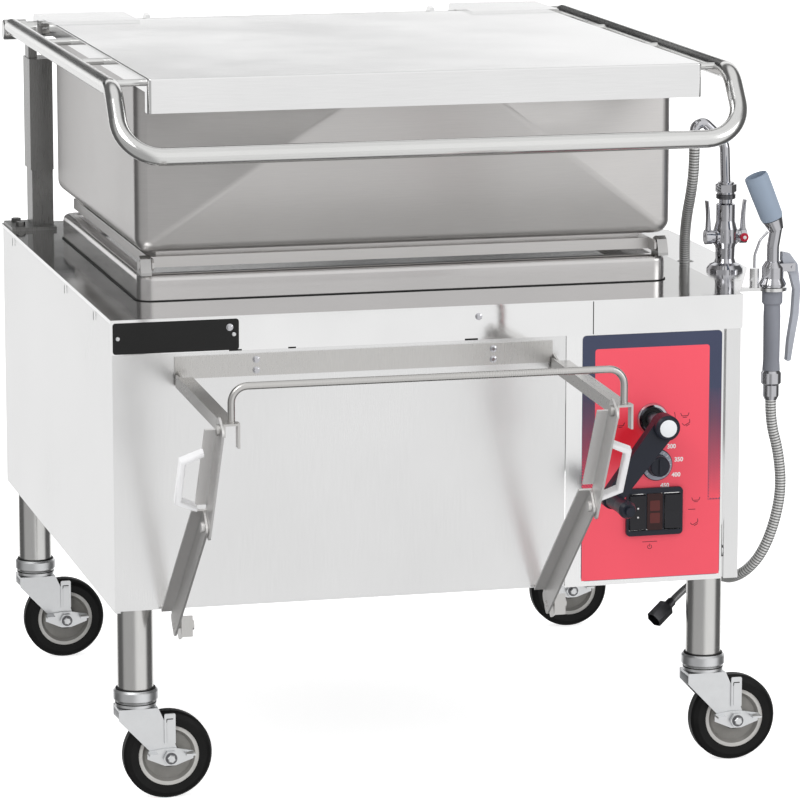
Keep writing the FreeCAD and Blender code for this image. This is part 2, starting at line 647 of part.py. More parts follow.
def make_hinge_shaft():
    half, drum = "shaftHalfLength", "shaftHalfLength - drumLength"
    keep("hinge_shaft", lathe("shaftTurned",
                              [(0, "-" + half), ("drumRadius - 2", "-" + half),
                               ("drumRadius", "2 - " + half), ("drumRadius", "-(%s)" % drum),
                               ("shaftRadius", "-(%s)" % drum), ("shaftRadius", drum),
                               ("drumRadius", drum), ("drumRadius", half + " - 2"),
                               ("drumRadius - 2", half), (0, half)],
                              (0, "shaftBack", "shaftHeight"), "x"))


def make_rail():
    """One tube bent round three sides of the lid, with three standoffs on each side."""
    half, high, back = size.railHalfWidth, size.railHeight, size.shaftBack - size.drumRadius - 0.3
    knee, front, low = size.railKnee, size.railFront, size.railHeight - size.railDrop
    points = [Vector(-half, back, high), Vector(-half, knee, high), Vector(-half, front, low),
              Vector(half, front, low), Vector(half, knee, high), Vector(half, back, high)]
    bends = [size.railBend, size.railCorner, size.railCorner, size.railBend]
    rail = bent_tube(points, size.railRadius, bends)
    length = size.railHalfWidth - size.lidHalfWidth
    for side in (-1, 1):
        for k in range(3):
            start = Vector(side * size.lidHalfWidth, size.standoffBack - k * size.standoffPitch, high + 3)
            rail = rail.fuse(Part.makeCylinder(size.standoffRadius, length, start, Vector(side, 0, 0)))
    keep_shape("handle_rail", rail.removeSplitter())


# Controls

def make_control_fittings():
    face = "sheetGauge - cabinetDepth / 2 - overlayGauge"
    bezel = lathe("bezelTurned",
                  [("bezelRadius - 5", 0), ("bezelRadius", 0), ("bezelRadius", "bezelDepth - 3"),
                   ("bezelRadius - 2", "bezelDepth"), ("bezelRadius - 5", "bezelDepth"),
                   ("bezelRadius - 7", "bezelDepth - 2"), ("bezelRadius - 7", -8),
                   ("bezelRadius - 5.1", -8)],
                  ("crankRight", face, "crankHeight"), "-y")
    keep("crank_bezel", bezel)
    frame = prism("switchPlate", "XZ",
                  [("switchLeft", "switchBottom"), ("switchLeft + switchWidth", "switchBottom"),
                   ("switchLeft + switchWidth", "switchBottom + switchHeight"),
                   ("switchLeft", "switchBottom + switchHeight")], "switchDepth", (0, face, 0))
    soften(frame, 6, along_pad("y"))
    windows = [block("switchWindow%d" % k, "rockerWidth + 2 * switchGap", "3 * switchDepth",
                     "rockerHeight + 2 * switchGap",
                     (rocker_left(k) + " - switchGap", face + " - 2 * switchDepth",
                      rocker_bottom() + " - switchGap")) for k in (0, 1, 2)]
    keep("switch_bezel", cut("switchFrame", frame, *windows))
    lens = prism("lensPlate", "XZ",
                 [(0, 0), ("rockerWidth", 0), ("rockerWidth", "rockerHeight"), (0, "rockerHeight")],
                 "switchDepth + 1", (rocker_left(1), face, rocker_bottom()))
    soften(lens, 2, along_pad("y"))
    keep("heat_lens", lens)


def rocker_left(slot):
    return "switchLeft + switchWidth / 2 + %d * (rockerWidth + 3) - rockerWidth / 2" % (slot - 1)


def rocker_bottom():
    return "switchBottom + (switchHeight - rockerHeight) / 2"


def make_rockers():
    """Each rocker is a shallow vee that tips about a pin behind its middle."""
    face = "sheetGauge - cabinetDepth / 2 - overlayGauge"
    for label, slot in (("power_rocker", 0), ("tilt_rocker", 2)):
        top = "-switchDepth - rockerDepth"
        rocker = prism(label + "Side", "YZ",
                       [("-2", "1"), ("-2", "rockerHeight - 1"), ("-switchDepth", "rockerHeight - 0.6"),
                        (top, "rockerHeight - 2"), ("-switchDepth - 1", "rockerHeight / 2"), (top, "2"),
                        ("-switchDepth", "0.6")],
                       "rockerWidth", (rocker_left(slot), face, rocker_bottom()))
        keep(label, rocker)


def make_thermostat():
    face = "sheetGauge - cabinetDepth / 2 - overlayGauge"
    skirt = lathe("knobSkirt",
                  [(0, "swivelGap"), ("skirtRadius", "swivelGap"), ("skirtRadius", 2),
                   ("skirtRadius - 1", 3), ("knobRadius + 1", 4), ("knobRadius", "knobDepth - 1.5"),
                   ("knobRadius - 1.5", "knobDepth"), (0, "knobDepth")],
                  ("dialRight", face, "dialHeight"), "-y")
    stem = rod("knobStem", 4, 11, ("dialRight", face, "dialHeight"), "y")
    bar = block("knobBar", 4, 2, "2 * knobRadius - 6",
                ("dialRight - 2", face + " - knobDepth - 2", "dialHeight - knobRadius + 3"))
    keep("thermostat_knob", fuse("knobWhole", skirt, stem, bar))


def make_crank():
    """Shaft, hub and tapered arm; the worm sits on the inner end of the shaft."""
    face = "sheetGauge - cabinetDepth / 2"
    hubFace = face + " - crankStandoff"
    shaft = rod("crankShaft", "shaftOut", "crankStandoff + 108",
                ("crankRight", hubFace, "crankHeight"), "y")
    worm = lathe("wormTurned",
                 [(0, 0), ("wormRadius - 3", 0), ("wormRadius - 3", 6)]
                 + [("wormRadius - %s" % (0 if k % 2 == 0 else 3.5), 8 + 2.5 * k) for k in range(11)]
                 + [("wormRadius - 3", 36), ("wormRadius - 3", 42), (0, 42)],
                 ("crankRight", face + " + 34", "crankHeight"), "y")
    keep("worm_shaft", fuse("wormWhole", shaft, worm))
    hub = lathe("crankHubTurned",
                [(0, 0), ("crankHub - 2", 0), ("crankHub", 2), ("crankHub", "crankGauge + 4"),
                 ("crankHub - 3", "crankGauge + 7"), (0, "crankGauge + 7")],
                ("crankRight", hubFace, "crankHeight"), "-y")
    tip = lathe("crankTipTurned",
                [(0, 0), ("crankEnd - 2", 0), ("crankEnd", 2), ("crankEnd", "crankGauge - 5"),
                 ("crankEnd - 2", "crankGauge - 3"), (0, "crankGauge - 3")],
                ("crankRight - crankThrow * cos(crankTurn)", hubFace,
                 "crankHeight - crankThrow * sin(crankTurn)"), "-y")
    web = prism("crankWeb", "XZ",
                [(0, "crankHub - 1"), ("-crankThrow", "crankEnd - 1"), ("-crankThrow", "1 - crankEnd"),
                 (0, "1 - crankHub")], "crankGauge - 6", ("crankRight", hubFace + " - 2", "crankHeight"))
    web.Placement = FreeCAD.Placement(web.Placement.Base,
                                      FreeCAD.Rotation(Vector(0, 1, 0), -size.crankTurn))
    locate(web, ("crankRight", hubFace + " - 2", "crankHeight"))
    pin = rod("gripPin", "gripRadius / 2", "gripLength + crankGauge",
              ("crankRight - crankThrow * cos(crankTurn)", hubFace + " - 4",
               "crankHeight - crankThrow * sin(crankTurn)"), "-y")
    keep("crank_handle", fuse("crankWhole", hub, tip, web, pin))
    grip = lathe("gripTurned",
                 [("gripRadius / 2 + runningFit", 0), ("gripRadius - 2", 0), ("gripRadius", 4),
                  ("gripRadius - 1", "gripLength / 2"), ("gripRadius + 1", "gripLength - 8"),
                  ("gripRadius - 2", "gripLength"), ("gripRadius / 2 + runningFit", "gripLength")],
                 ("crankRight - crankThrow * cos(crankTurn)", hubFace + " - crankGauge + 2.7",
                  "crankHeight - crankThrow * sin(crankTurn)"), "-y")
    keep("crank_grip", grip)


def make_gearbox():
    """A split housing round the worm and its wheel, open inside."""
    back = "sheetGauge - cabinetDepth / 2"
    outer = block("gearOuter", 84, 92, 132, ("crankRight - 42", back + " + 12", "crankHeight - 98"))
    inner = block("gearInner", 74, 82, 122, ("crankRight - 37", back + " + 17", "crankHeight - 93"))
    nose = rod("gearNose", "bezelRadius - 8", 22, ("crankRight", back, "crankHeight"), "y")
    bore = rod("gearBore", "shaftOut + runningFit", 140, ("crankRight", back + " - 10", "crankHeight"), "y")
    cross = rod("gearCross", "9 + runningFit", 120,
                ("crankRight - 60", back + " + 55", "crankHeight - wormRadius - wormWheelRadius + 3"), "x")
    keep("gearbox_housing", cut("gearHousing", fuse("gearSolid", outer, nose), inner, bore, cross))


def make_worm_wheel():
    """A toothed wheel with hollow-cut teeth on a cross shaft."""
    teeth = int(size.wheelTeeth)
    outer, root, wide = size.wormWheelRadius - 0.6, size.wormWheelRadius - 4.5, size.wormWheelWidth
    centre = Vector(size.crankRight, size.sheetGauge - size.cabinetDepth / 2 + 55,
                    size.crankHeight - size.wormRadius - size.wormWheelRadius + 3)
    corners = []
    for k in range(teeth):
        for share, radius in ((0.05, root), (0.3, outer), (0.5, outer), (0.75, root)):
            angle = 2 * math.pi * (k + share) / teeth
            corners.append(centre + Vector(-wide / 2, radius * math.cos(angle), radius * math.sin(angle)))
    face = Part.Face(Part.makePolygon(corners + corners[:1]))
    wheel = face.extrude(Vector(wide, 0, 0))
    throat = Part.makeTorus(size.wormWheelRadius + size.wormRadius - 3, size.wormRadius + 0.6, centre,
                            Vector(1, 0, 0))
    shaft = Part.makeCylinder(9, 100, centre - Vector(50, 0, 0), Vector(1, 0, 0))
    keep_shape("worm_wheel", wheel.cut(throat).fuse(shaft))


# Receiving pan support

def link_plane(order):
    """Outer face of a link's leg on the left unit: 0 is the arm, 1 the upper link, 2 the lower link."""
    return size.supportLeft - order * (size.linkPlate + size.linkGap)


def knee_place():
    return size.kneeForward, size.kneeHeight


def foot_place():
    return size.footForward, size.footHeight


def tip_place():
    return size.pivotForward - size.armReach, size.pivotHeight - size.armDrop


def pivot_place():
    return size.pivotForward, size.pivotHeight


def cross_pin(radius, start, end, place):
    """A round pin along x between two faces, at a place in y and z."""
    return Part.makeCylinder(radius, end - start, Vector(start, place[0], place[1]), Vector(1, 0, 0))


def angle_link(start, end, front, rear, flange, order):
    """An angle iron between two pivots: a leg in an upright plane and a flange on its rear edge."""
    plane, thick = link_plane(order), size.linkPlate
    run = Vector(0, end[0] - start[0], end[1] - start[1])
    ends = size.linkEnd
    leg = Part.makeBox(thick, run.Length + 2 * ends, front + rear, Vector(plane, -ends, -front))
    corners = [edge for edge in leg.Edges if abs(edge.Vertexes[0].X - edge.Vertexes[1].X) > 1]
    leg = leg.makeFillet(size.linkCorner, corners)
    first, last = flange
    plate = Part.makeBox(size.linkFlange + thick, run.Length - first - last, thick,
                         Vector(plane - size.linkFlange, first, rear - thick))
    link = leg.fuse(plate).removeSplitter()
    bend = [edge for edge in link.Edges if abs(edge.BoundBox.XLength) + abs(edge.BoundBox.ZLength) < 0.01
            and abs(edge.BoundBox.ZMin - rear + thick) < 0.01 and abs(edge.BoundBox.XMin - plane) < 0.01]
    link = link.makeFillet(size.linkPlate, bend)
    link.Placement = FreeCAD.Placement(Vector(0, start[0], start[1]),
                                       FreeCAD.Rotation(Vector(1, 0, 0), math.degrees(math.atan2(run.z, run.y))))
    return link


def both_units(shape):
    """The two units of the support have the same hand."""
    other = shape.copy()
    other.translate(Vector(size.supportPitch, 0, 0))
    return shape, other


def make_shelf_frame():
    """Two angle-section arms and a rod guard that stands on their tips."""
    outer, thick, half = size.supportLeft, size.armPlate, size.armHeight / 2
    pivot, tip = pivot_place(), tip_place()
    run = Vector(0, tip[0] - pivot[0], tip[1] - pivot[1])
    leg = Part.makeBox(thick, run.Length + 18, 2 * half, Vector(outer, -9, -half))
    flange = Part.makeBox(size.armFlange, run.Length - 3, thick, Vector(outer, 12, -half))
    arm = leg.fuse(flange)
    arm.Placement = FreeCAD.Placement(Vector(0, pivot[0], pivot[1]),
                                      FreeCAD.Rotation(Vector(1, 0, 0), math.degrees(math.atan2(run.z, run.y))))
    hanger = Part.makeBox(3, 15, 34, Vector(outer + size.armFlange, tip[0] - 8, tip[1] + half - 34))
    hinge = cross_pin(size.pinRadius, outer, outer + thick + size.plateGauge + 2, pivot)
    head = link_plane(1) - size.swivelGap
    bolt = cross_pin(size.pinRadius, head - 1, outer + thick, tip)
    cap = cross_pin(size.pinRadius + 2.5, head - 4, head, tip)
    unit = arm.fuse([hanger, hinge, bolt, cap])
    left, right = both_units(unit)
    base = tip[1] + half - 1
    near, far = outer + size.armFlange - 6, outer + size.supportPitch + size.armFlange - 6
    points = [Vector(near, tip[0] + 6, base), Vector(near, tip[0] + 6, base + size.rodRise),
              Vector(far, tip[0] + 6, base + size.rodRise), Vector(far, tip[0] + 6, base)]
    guard = bent_tube(points, size.rodRadius, [size.rodBend, size.rodBend])
    keep_shape("shelf_frame", left.fuse([right, guard]).removeSplitter())


def make_back_plate():
    """The plate on the cabinet's front, with a lug inside each arm."""
    face = size.sheetGauge - size.cabinetDepth / 2
    outer, thick = size.supportLeft, size.armPlate
    plate = Part.makeBox(size.supportPitch + thick, size.plateGauge, size.plateHeight,
                         Vector(outer, face - size.plateGauge, size.plateBottom))
    near = outer + thick + size.linkGap
    pivot = pivot_place()
    outline = [(pivot[0] - 9, pivot[1] - 6), (pivot[0] - 4, pivot[1] - 10), (face, pivot[1] - 10),
               (face, pivot[1] + 14), (pivot[0] - 4, pivot[1] + 9), (pivot[0] - 9, pivot[1] + 5)]
    ring = [Vector(near, y, z) for y, z in outline]
    lug = Part.Face(Part.makePolygon(ring + ring[:1])).extrude(Vector(size.plateGauge, 0, 0))
    lug = lug.cut(cross_pin(size.pinRadius + size.runningFit, near - 2, near + 10, pivot))
    whole = plate.fuse(list(both_units(lug)))
    holes = [Part.makeBox(thick + size.linkGap, 30, 20, Vector(start, face - 30, pivot[1] - 12))
             for start in (outer, outer + size.supportPitch)]
    keep_shape("shelf_back_plate", whole.cut(holes).removeSplitter())


def make_upper_braces():
    tip, knee = tip_place(), knee_place()
    link = angle_link(tip, knee, size.upperFront, size.upperRear, (12, 28), 1)
    link = link.cut(cross_pin(size.pinRadius + size.runningFit, link_plane(2), link_plane(0) + 2, tip))
    head = link_plane(2) - size.swivelGap
    pin = cross_pin(size.pinRadius, head, link_plane(1) + 1, knee)
    cap = cross_pin(size.pinRadius + 2.5, head - 4.5, head, knee)
    keep_shape("upper_braces", *both_units(link.fuse([pin, cap]).removeSplitter()))


def make_lower_braces():
    knee, foot = knee_place(), foot_place()
    link = angle_link(knee, foot, size.lowerFront, size.lowerRear, (-size.linkEnd, 8), 2)
    holes = [cross_pin(size.pinRadius + size.runningFit, link_plane(2) - 2, link_plane(1), place)
             for place in (knee, foot)]
    keep_shape("lower_braces", *both_units(link.cut(holes)))


def brace_grip(face, outward, shift):
    """A flat bent grip on an upper brace, shifted across the brace and reaching out along x."""
    tip, knee = tip_place(), knee_place()
    along = Vector(0, knee[0] - tip[0], knee[1] - tip[1])
    along.normalize()
    across = Vector(0, -along.z, along.y)
    start = Vector(face, tip[0], tip[1]) + along * size.gripStart + across * shift
    half, slope = size.gripWidth / 2, 12
    reach, span, thick = size.gripReach, size.gripSpan, size.gripThick
    outline = [(-thick, 0), (slope - thick / 2, reach), (span - slope + thick / 2, reach), (span + thick, 0),
               (span, 0), (span - slope, reach - thick), (slope, reach - thick), (0, 0)]
    ring = [start + along * run + Vector(outward * out, 0, 0) - across * half for run, out in outline]
    grip = Part.Face(Part.makePolygon(ring + ring[:1])).extrude(across * size.gripWidth)
    rims = [edge for edge in grip.Edges if edge.Length > size.gripWidth + 1]
    return grip.makeFillet(1.2, rims)


def make_brace_grips():
    left = brace_grip(link_plane(1) - size.linkFlange, -1, size.upperRear - size.gripWidth / 2)
    right = brace_grip(link_plane(1) + size.linkPlate, 1, -size.gripWidth)
    right.translate(Vector(size.supportPitch, 0, 0))
    keep_shape("brace_grips", left, right)


def make_brace_brackets():
    """Hanging brackets beside the foot of each lower brace, with a drawn plunger."""
    low = size.cabinetBottom + size.sheetGauge
    near = link_plane(2) + size.linkPlate + 5
    forward, height = foot_place()
    outline = [(forward + 44, low), (forward - 12, low), (forward - 12, low - 34), (forward + 6, low - 42),
               (forward + 44, low - 18)]
    ring = [Vector(near, y, z) for y, z in outline]
    plate = Part.Face(Part.makePolygon(ring + ring[:1])).extrude(Vector(3, 0, 0))
    tab = Part.makeBox(16, 3, 30, Vector(near, forward - 15, low - 34))
    plunger = cross_pin(4, near - 4.6, near + 18, (forward, height))
    knob = cross_pin(7, near + 10, near + 20, (forward, height))
    bolt = cross_pin(5.5, near - 3, near + 5, (forward + 22, height + 4))
    unit = plate.fuse([tab, plunger, knob, bolt]).removeSplitter()
    keep_shape("brace_brackets", *both_units(unit))


# Water

def make_faucet_bracket():
    edge = "cabinetWidth / 2"
    top = "deckHeight"
    shelf = prism("shelfPlate", "XY",
                  [(edge, 190), (edge + " + shelfOut", 145), (edge + " + shelfOut", -240), (edge, -455)],
                  "shelfGauge", (0, 0, top + " - shelfGauge"))
    flange = block("shelfFlange", "shelfGauge", 620, 30, (edge, -440, top + " - shelfGauge - 30"))
    hole = rod("shelfHoseHole", "hoseHole", 40, (468.3, -164.5, top + " - 20"))
    tap = rod("shelfTapHole", 14, 40, ("faucetRight", "faucetForward", top + " - 20"))
    ring = cut("hookRing", rod("hookOuter", 21, 5, ("valveRight", "valveForward", 678)),
               rod("hookInner", 16, 15, ("valveRight", "valveForward", 673)),
               block("hookGap", 30, 20, 15, ("valveRight", "valveForward - 10", 673)))
    arm = block("hookArm", 44, 12, 5, ("valveRight - 62", "valveForward - 6", 678))
    neck = block("hookNeck", 12, 12, 17, ("valveRight - 62", "valveForward - 6", 678))
    sleeve = rod("hookSleeve", 7, 28, ("valveRight - 28", "valveForward", 683))
    whole = fuse("shelfWhole", cut("shelfHoled", fuse("shelfFolded", shelf, flange), hole, tap), ring, arm,
                 neck, sleeve)
    keep("faucet_bracket", whole)


def make_faucet():
    """A turned column with a valve bonnet on each side and a threaded shank through the shelf."""
    column = lathe("faucetColumn",
                   [(0, 0), (27, 0), (27, 4), (23, 9), (16, 12), (14, 18), (14.5, 34), (17, 42), (17, 62),
                    (14, 74), (14, 98), (10, 100), (10, 106), (0, 106)],
                   ("faucetRight", "faucetForward", "deckHeight"))
    shank = rod("faucetShank", 11, 46, ("faucetRight", "faucetForward", "deckHeight - 45"))
    locknut = hexagon("faucetLocknut", 36, 8, ("faucetRight", "faucetForward", "deckHeight - shelfGauge - 8"))
    bonnets = [lathe("faucetBonnet" + name,
                     [(0, 0), (13, 0), (13, 16), (10, 18), (10, 22), (0, 22)],
                     ("faucetRight", "faucetForward", "deckHeight + 50"), axis)
               for name, axis in (("Right", "x"),)]
    left = mirror("faucetBonnetLeft", bonnets[0], Vector(1, 0, 0), size.faucetRight)
    keep("faucet_body", fuse("faucetWhole", column, shank, locknut, bonnets[0], left))
    for label, side in (("hot_lever", 1), ("cold_lever", -1)):
        hub = Part.makeCylinder(11, 9, lever_start(side), Vector(side, 0, 0))
        tip = lever_start(side) + Vector(side * 5, 0, 0)
        blade = Part.makeLoft([ellipse_wire(tip, 5, 4), ellipse_wire(tip + Vector(0, 0, 34), 3.2, 5),
                               ellipse_wire(tip + Vector(side * 2, 0, 54), 2.4, 7)], True)
        keep_shape(label, hub.fuse(blade).removeSplitter())


def lever_start(side):
    return Vector(size.faucetRight + side * 22.3, size.faucetForward, size.deckHeight + 50)


def ellipse_wire(centre, across, deep):
    long, short = max(across, deep), min(across, deep)
    axis = Vector(1, 0, 0) if across >= deep else Vector(0, 1, 0)
    curve = Part.Ellipse(centre + axis * long, centre + Vector(0, 0, 1).cross(axis) * short, centre)
    return Part.Wire(curve.toShape())


def make_riser():
    """Nut and tube that rise from the faucet and turn over into the hose."""
    right, forward, high = size.faucetRight, size.faucetForward, size.deckHeight
    base = Vector(right, forward, high + 106)
    nut = Part.makeCylinder(13, 14, base)
    ring = Part.makeCylinder(12, 8, base + Vector(0, 0, 17))
    tube = bent_tube([base + Vector(0, 0, 2), base + Vector(-3, 0, 84), hose_top() + Vector(14, 0, 34),
                      hose_top() + Vector(0, 0, 28), hose_top() + Vector(0, 0, 4)], 7.5, [30, 9, 9])
    ferrule = Part.makeCone(9.5, 11, 20, hose_top(), Vector(0, 0, 1))
    keep_shape("riser_tube", nut.fuse([ring, tube, ferrule]).removeSplitter())


def hose_top():
    return Vector(453, -250, 880)


def valve_turned(name, points):
    return lathe(name, points, ("valveRight", "valveForward", 0))


def make_spray_valve():
    """Valve body with its neck, a hanging bail and the lever's ears; grip and head are separate."""
    body = valve_turned("valveBody", [(0, 684), (19, 684), (20, 688), (16, 696), (16, 712), (11, 720), (0, 722)])
    right, forward = size.valveRight, size.valveForward
    doc.recompute()
    neck = bent_tube([Vector(right, forward, 712), Vector(right, forward, 742), Vector(right + 5, forward, 772)],
                     9, [30])
    lean = Vector(-0.38, 0, 0.925)
    lean.normalize()
    start = Vector(right - 1.2, forward, 781.5)
    collar = Part.makeCone(11, 15, 16, start - lean * 16, lean)
    pin = Part.makeCylinder(2.5, 26, Vector(right + 27, forward - 13, 712), Vector(0, 1, 0))
    ears = [Part.makeBox(23, 4, 12, Vector(right + 8, forward + side, 706)) for side in (-11, 7)]
    bail = bent_tube([Vector(right - 8, forward, 764), Vector(right - 20, forward, 752),
                      Vector(right - 28, forward, 730), Vector(right - 28, forward, 712)], 2, [12, 20])
    ferrule = valve_turned("hoseFerrule", [(0, 516), (9, 516), (12, 522), (12, 538), (15, 541), (15, 556),
                                           (12.5, 559.7), (0, 559.7)])
    doc.recompute()
    keep_shape("spray_valve", body.Shape.fuse([neck, collar, bail, pin] + ears).removeSplitter(), ferrule.Shape)
    shell = Part.makeCone(15.5, 22, 34, start, lean).fuse(Part.makeCone(22, 25, 26, start + lean * 34, lean))
    mouth = Part.makeCylinder(19, 8, start + lean * 54, lean)
    keep_shape("spray_head", shell.cut(mouth))
    grip = valve_turned("gripSleeve", [(0, 560), (13, 560), (12, 575), (12.5, 640), (12, 656), (15, 660),
                                       (15, 683.7), (0, 683.7)])
    keep("spray_grip", grip)
    lever = prism("leverOutline", "XZ",
                  [(13, 734), (24, 732), (36, 716), (41, 680), (39, 640), (32, 600), (28, 574), (22, 572),
                   (24, 602), (30, 642), (32, 678), (26, 700), (18, 712), (13, 721)],
                  13, ("valveRight", "valveForward + 6.5", 0))
    bore = rod("leverBore", "2.5 + runningFit", 30, ("valveRight + 27", "valveForward - 15", 712), "y")
    keep("spray_lever", cut("leverWhole", soften(lever, 1.5, along_pad("y")), bore))


def make_hoses():
    top = hose_top()
    route = [top, Vector(453, -250, 846), Vector(453, -236, 806), Vector(455, -210, 768), Vector(464, -174, 724),
             Vector(471, -157, 672), Vector(475, -146, 612), Vector(475, -140, 544), Vector(476, -144, 470),
             Vector(476, -152, 402), Vector(478, -172, 338), Vector(480, -200, 284), Vector(486, -240, 246),
             Vector(497, -286, 234), Vector(513, -327, 252), Vector(534, -345, 284), Vector(551, -351, 332),
             Vector(560, -352, 384), Vector(555, -351, 438), Vector(542, -350, 484), Vector(542, -350, 516)]
    cord_tube("spray_hose", route, size.hoseDiameter)
    supply = [Vector(500, -257, 649.6), Vector(499, -257, 596), Vector(494, -258, 532), Vector(486, -262, 462),
              Vector(480, -266, 394), Vector(478, -274, 336), Vector(471, -291, 291),
              Vector(455, -313, 262), Vector(432, -337, 246), Vector(408, -352, 236), Vector(391, -360, 224)]
    cord_tube("supply_hose", supply, size.supplyDiameter)
    make_supply_nut(supply[-1], (supply[-1] - supply[-2]).normalize())


def make_supply_nut(start, along):
    """Crimped sleeve and a loose hexagon nut with a plain bore at its mouth."""
    sleeve = Part.makeCylinder(size.supplyDiameter / 2 + 1.5, 12, start, along)
    nutStart = start + along * 12
    turn = FreeCAD.Rotation(Vector(0, 0, 1), along)
    radius = size.nutFlats / math.sqrt(3)
    ring = [turn.multVec(Vector(radius * math.cos(math.radians(60 * k)), radius * math.sin(math.radians(60 * k)), 0))
            + nutStart for k in range(7)]
    nut = Part.Face(Part.makePolygon(ring)).extrude(along * size.nutLength)
    bore = Part.makeCylinder(size.nutBore, 16, nutStart + along * (size.nutLength - 16), along)
    keep_shape("supply_nut", sleeve.fuse(nut.cut(bore)).removeSplitter())
    mouth = nutStart + along * size.nutLength
    print("nut mouth", mouth - Vector(size.originRight, size.originBack, 0), along)


# Casters

def caster_fork():
    """Swivel head, bridge and two tapered legs round the wheel, with the axle and its nuts."""
    top = "casterTop - swivelGap"
    head = lathe("forkHead",
                 [(0, top), ("headRadius - 4", top), ("headRadius", top + " - 3"),
                  ("headRadius", top + " - headHeight + 2"), ("headRadius - 6", top + " - headHeight"),
                  (0, top + " - headHeight")])
    stem = rod("forkStem", 6, 30, (0, 0, top + " - 1"))
    half = "(forkInside / 2)"
    bridgeTop = "(%s - headHeight)" % top
    bridge = block("forkBridgePlate", "2 * headRadius - 2", "forkInside + 2 * forkGauge", "forkBridge",
                   ("1 - headRadius", "-%s - forkGauge" % half, bridgeTop + " - forkBridge"))
    leg = prism("forkLeg", "XZ",
                [("1 - headRadius", bridgeTop), ("headRadius - 1", bridgeTop),
                 ("casterTrail + 13", "wheelRadius + 6"), ("casterTrail + 13", "wheelRadius - 6"),
                 ("casterTrail + 6", "wheelRadius - 13"), ("casterTrail - 6", "wheelRadius - 13"),
                 ("casterTrail - 14", "wheelRadius - 6"), ("1 - headRadius", bridgeTop + " - 16")],
                "forkGauge", (0, "-%s" % half, 0))
    other = copy_at("forkLegBack", leg, (0, "forkInside + forkGauge", 0))
    axle = rod("forkAxle", "axleRadius", "forkInside + 2 * forkGauge + 16",
               ("casterTrail", "-%s - forkGauge - 8" % half, "wheelRadius"), "y")
    nuts = [hexagon("forkNut%d" % k, 19, 6, ("casterTrail", start, "wheelRadius"), "y")
            for k, start in enumerate(("%s + forkGauge" % half, "-%s - forkGauge - 10" % half))]
    return fuse("forkWhole", head, stem, bridge, leg, other, axle, *nuts)


def caster_wheel():
    """Core with a bore for the axle and the tread moulded round it, as two solids."""
    half = "hubWidth / 2"
    hub = lathe("wheelCore",
                [("axleRadius + runningFit", "-" + half), (15, "-" + half), (16, "-%s + 4" % half),
                 ("hubRadius - 9", "-%s + 8" % half), ("hubRadius - 5", "-wheelWidth / 2 + 2"),
                 ("hubRadius", "-wheelWidth / 2 + 2"), ("hubRadius", "wheelWidth / 2 - 2"),
                 ("hubRadius - 5", "wheelWidth / 2 - 2"), ("hubRadius - 9", "%s - 8" % half),
                 (16, "%s - 4" % half), (15, half), ("axleRadius + runningFit", half)],
                ("casterTrail", 0, "wheelRadius"), "y")
    tread = lathe("wheelTread",
                  [("hubRadius", "-wheelWidth / 2 + 1"), ("wheelRadius - 9", "-wheelWidth / 2"),
                   ("wheelRadius - 3", "-wheelWidth / 2 + 4"), ("wheelRadius", "-wheelWidth / 2 + 9"),
                   ("wheelRadius", "wheelWidth / 2 - 9"), ("wheelRadius - 3", "wheelWidth / 2 - 4"),
                   ("wheelRadius - 9", "wheelWidth / 2"), ("hubRadius", "wheelWidth / 2 - 1")],
                  ("casterTrail", 0, "wheelRadius"), "y")
    pair = doc.addObject("Part::Compound", "wheelWhole")
    pair.Links = [hub, tread]
    return pair


def caster_pedal():
    """A two-ended rocker on the outer end of the axle, its treads bent outwards."""
    plane = "-forkInside / 2 - forkGauge - 0.4"
    plate = prism("pedalPlate", "XZ",
                  [("-pedalReach", 10), ("-pedalReach", -1), ("-8", -12), (8, -12), ("pedalReach", -3),
                   ("pedalReach", 8), (8, 13), (-8, 13)],
                  "pedalGauge", ("casterTrail", plane, "wheelRadius"))
    treads = [block("pedalTread%d" % k, 13, 20, "pedalGauge",
                    ("casterTrail %s" % shift, plane + " - 20", "wheelRadius + %d" % rise))
              for k, (shift, rise) in enumerate((("- pedalReach", 7), ("+ pedalReach - 13", 5)))]
    bore = rod("pedalBore", "axleRadius + runningFit", 30, ("casterTrail", plane + " - 20", "wheelRadius"), "y")
    return cut("pedalWhole", fuse("pedalSolid", plate, *treads), bore)


def make_casters():
    pieces = {"fork": caster_fork(), "wheel": caster_wheel(), "brake_pedal": caster_pedal()}
    for name, place in leg_places().items():
        for piece, solid in pieces.items():
            keep("%s_%s" % (piece, name), copy_at("%s_at_%s" % (piece, name), solid, place + (0,)))


def make_all():
    for make in (make_deck, make_collar, make_panels, make_control_column, make_base_frame, make_legs,
                 make_posts, make_fasteners, make_pan, make_pan_frame, make_tilt_bearings, make_heaters,
                 make_lid_brackets, make_lid, make_hinge_arms, make_hinge_shaft, make_rail,
                 make_control_fittings, make_rockers, make_thermostat, make_crank, make_gearbox,
                 make_worm_wheel, make_shelf_frame, make_back_plate, make_upper_braces,
                 make_lower_braces, make_brace_grips, make_brace_brackets, make_faucet_bracket,
                 make_faucet, make_riser, make_spray_valve, make_hoses, make_casters):
        make()
    doc.recompute()


def check_all():
    for item in doc.Objects:
        if "Invalid" in item.State or "Error" in item.State:
            raise RuntimeError("%s did not build: %s" % (item.Name, item.State))
    for part in subParts:
        if part.Shape.isNull() or not part.Shape.isValid():
            raise RuntimeError(part.Label + " has no valid shape")


def write_all():
    os.makedirs("parts", exist_ok=True)
    whole = FreeCAD.BoundBox()
    for part in subParts:
        part.Shape.exportStep(os.path.join("parts", part.Label + ".step"))
        if part.Label not in ("spray_hose", "supply_hose", "supply_nut"):
            whole.add(part.Shape.BoundBox)
    print(len(subParts), "sub-parts, box", whole)


make_all()
check_all()
write_all()
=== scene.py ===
import bmesh
import bpy
import math
from mathutils import Matrix, Vector


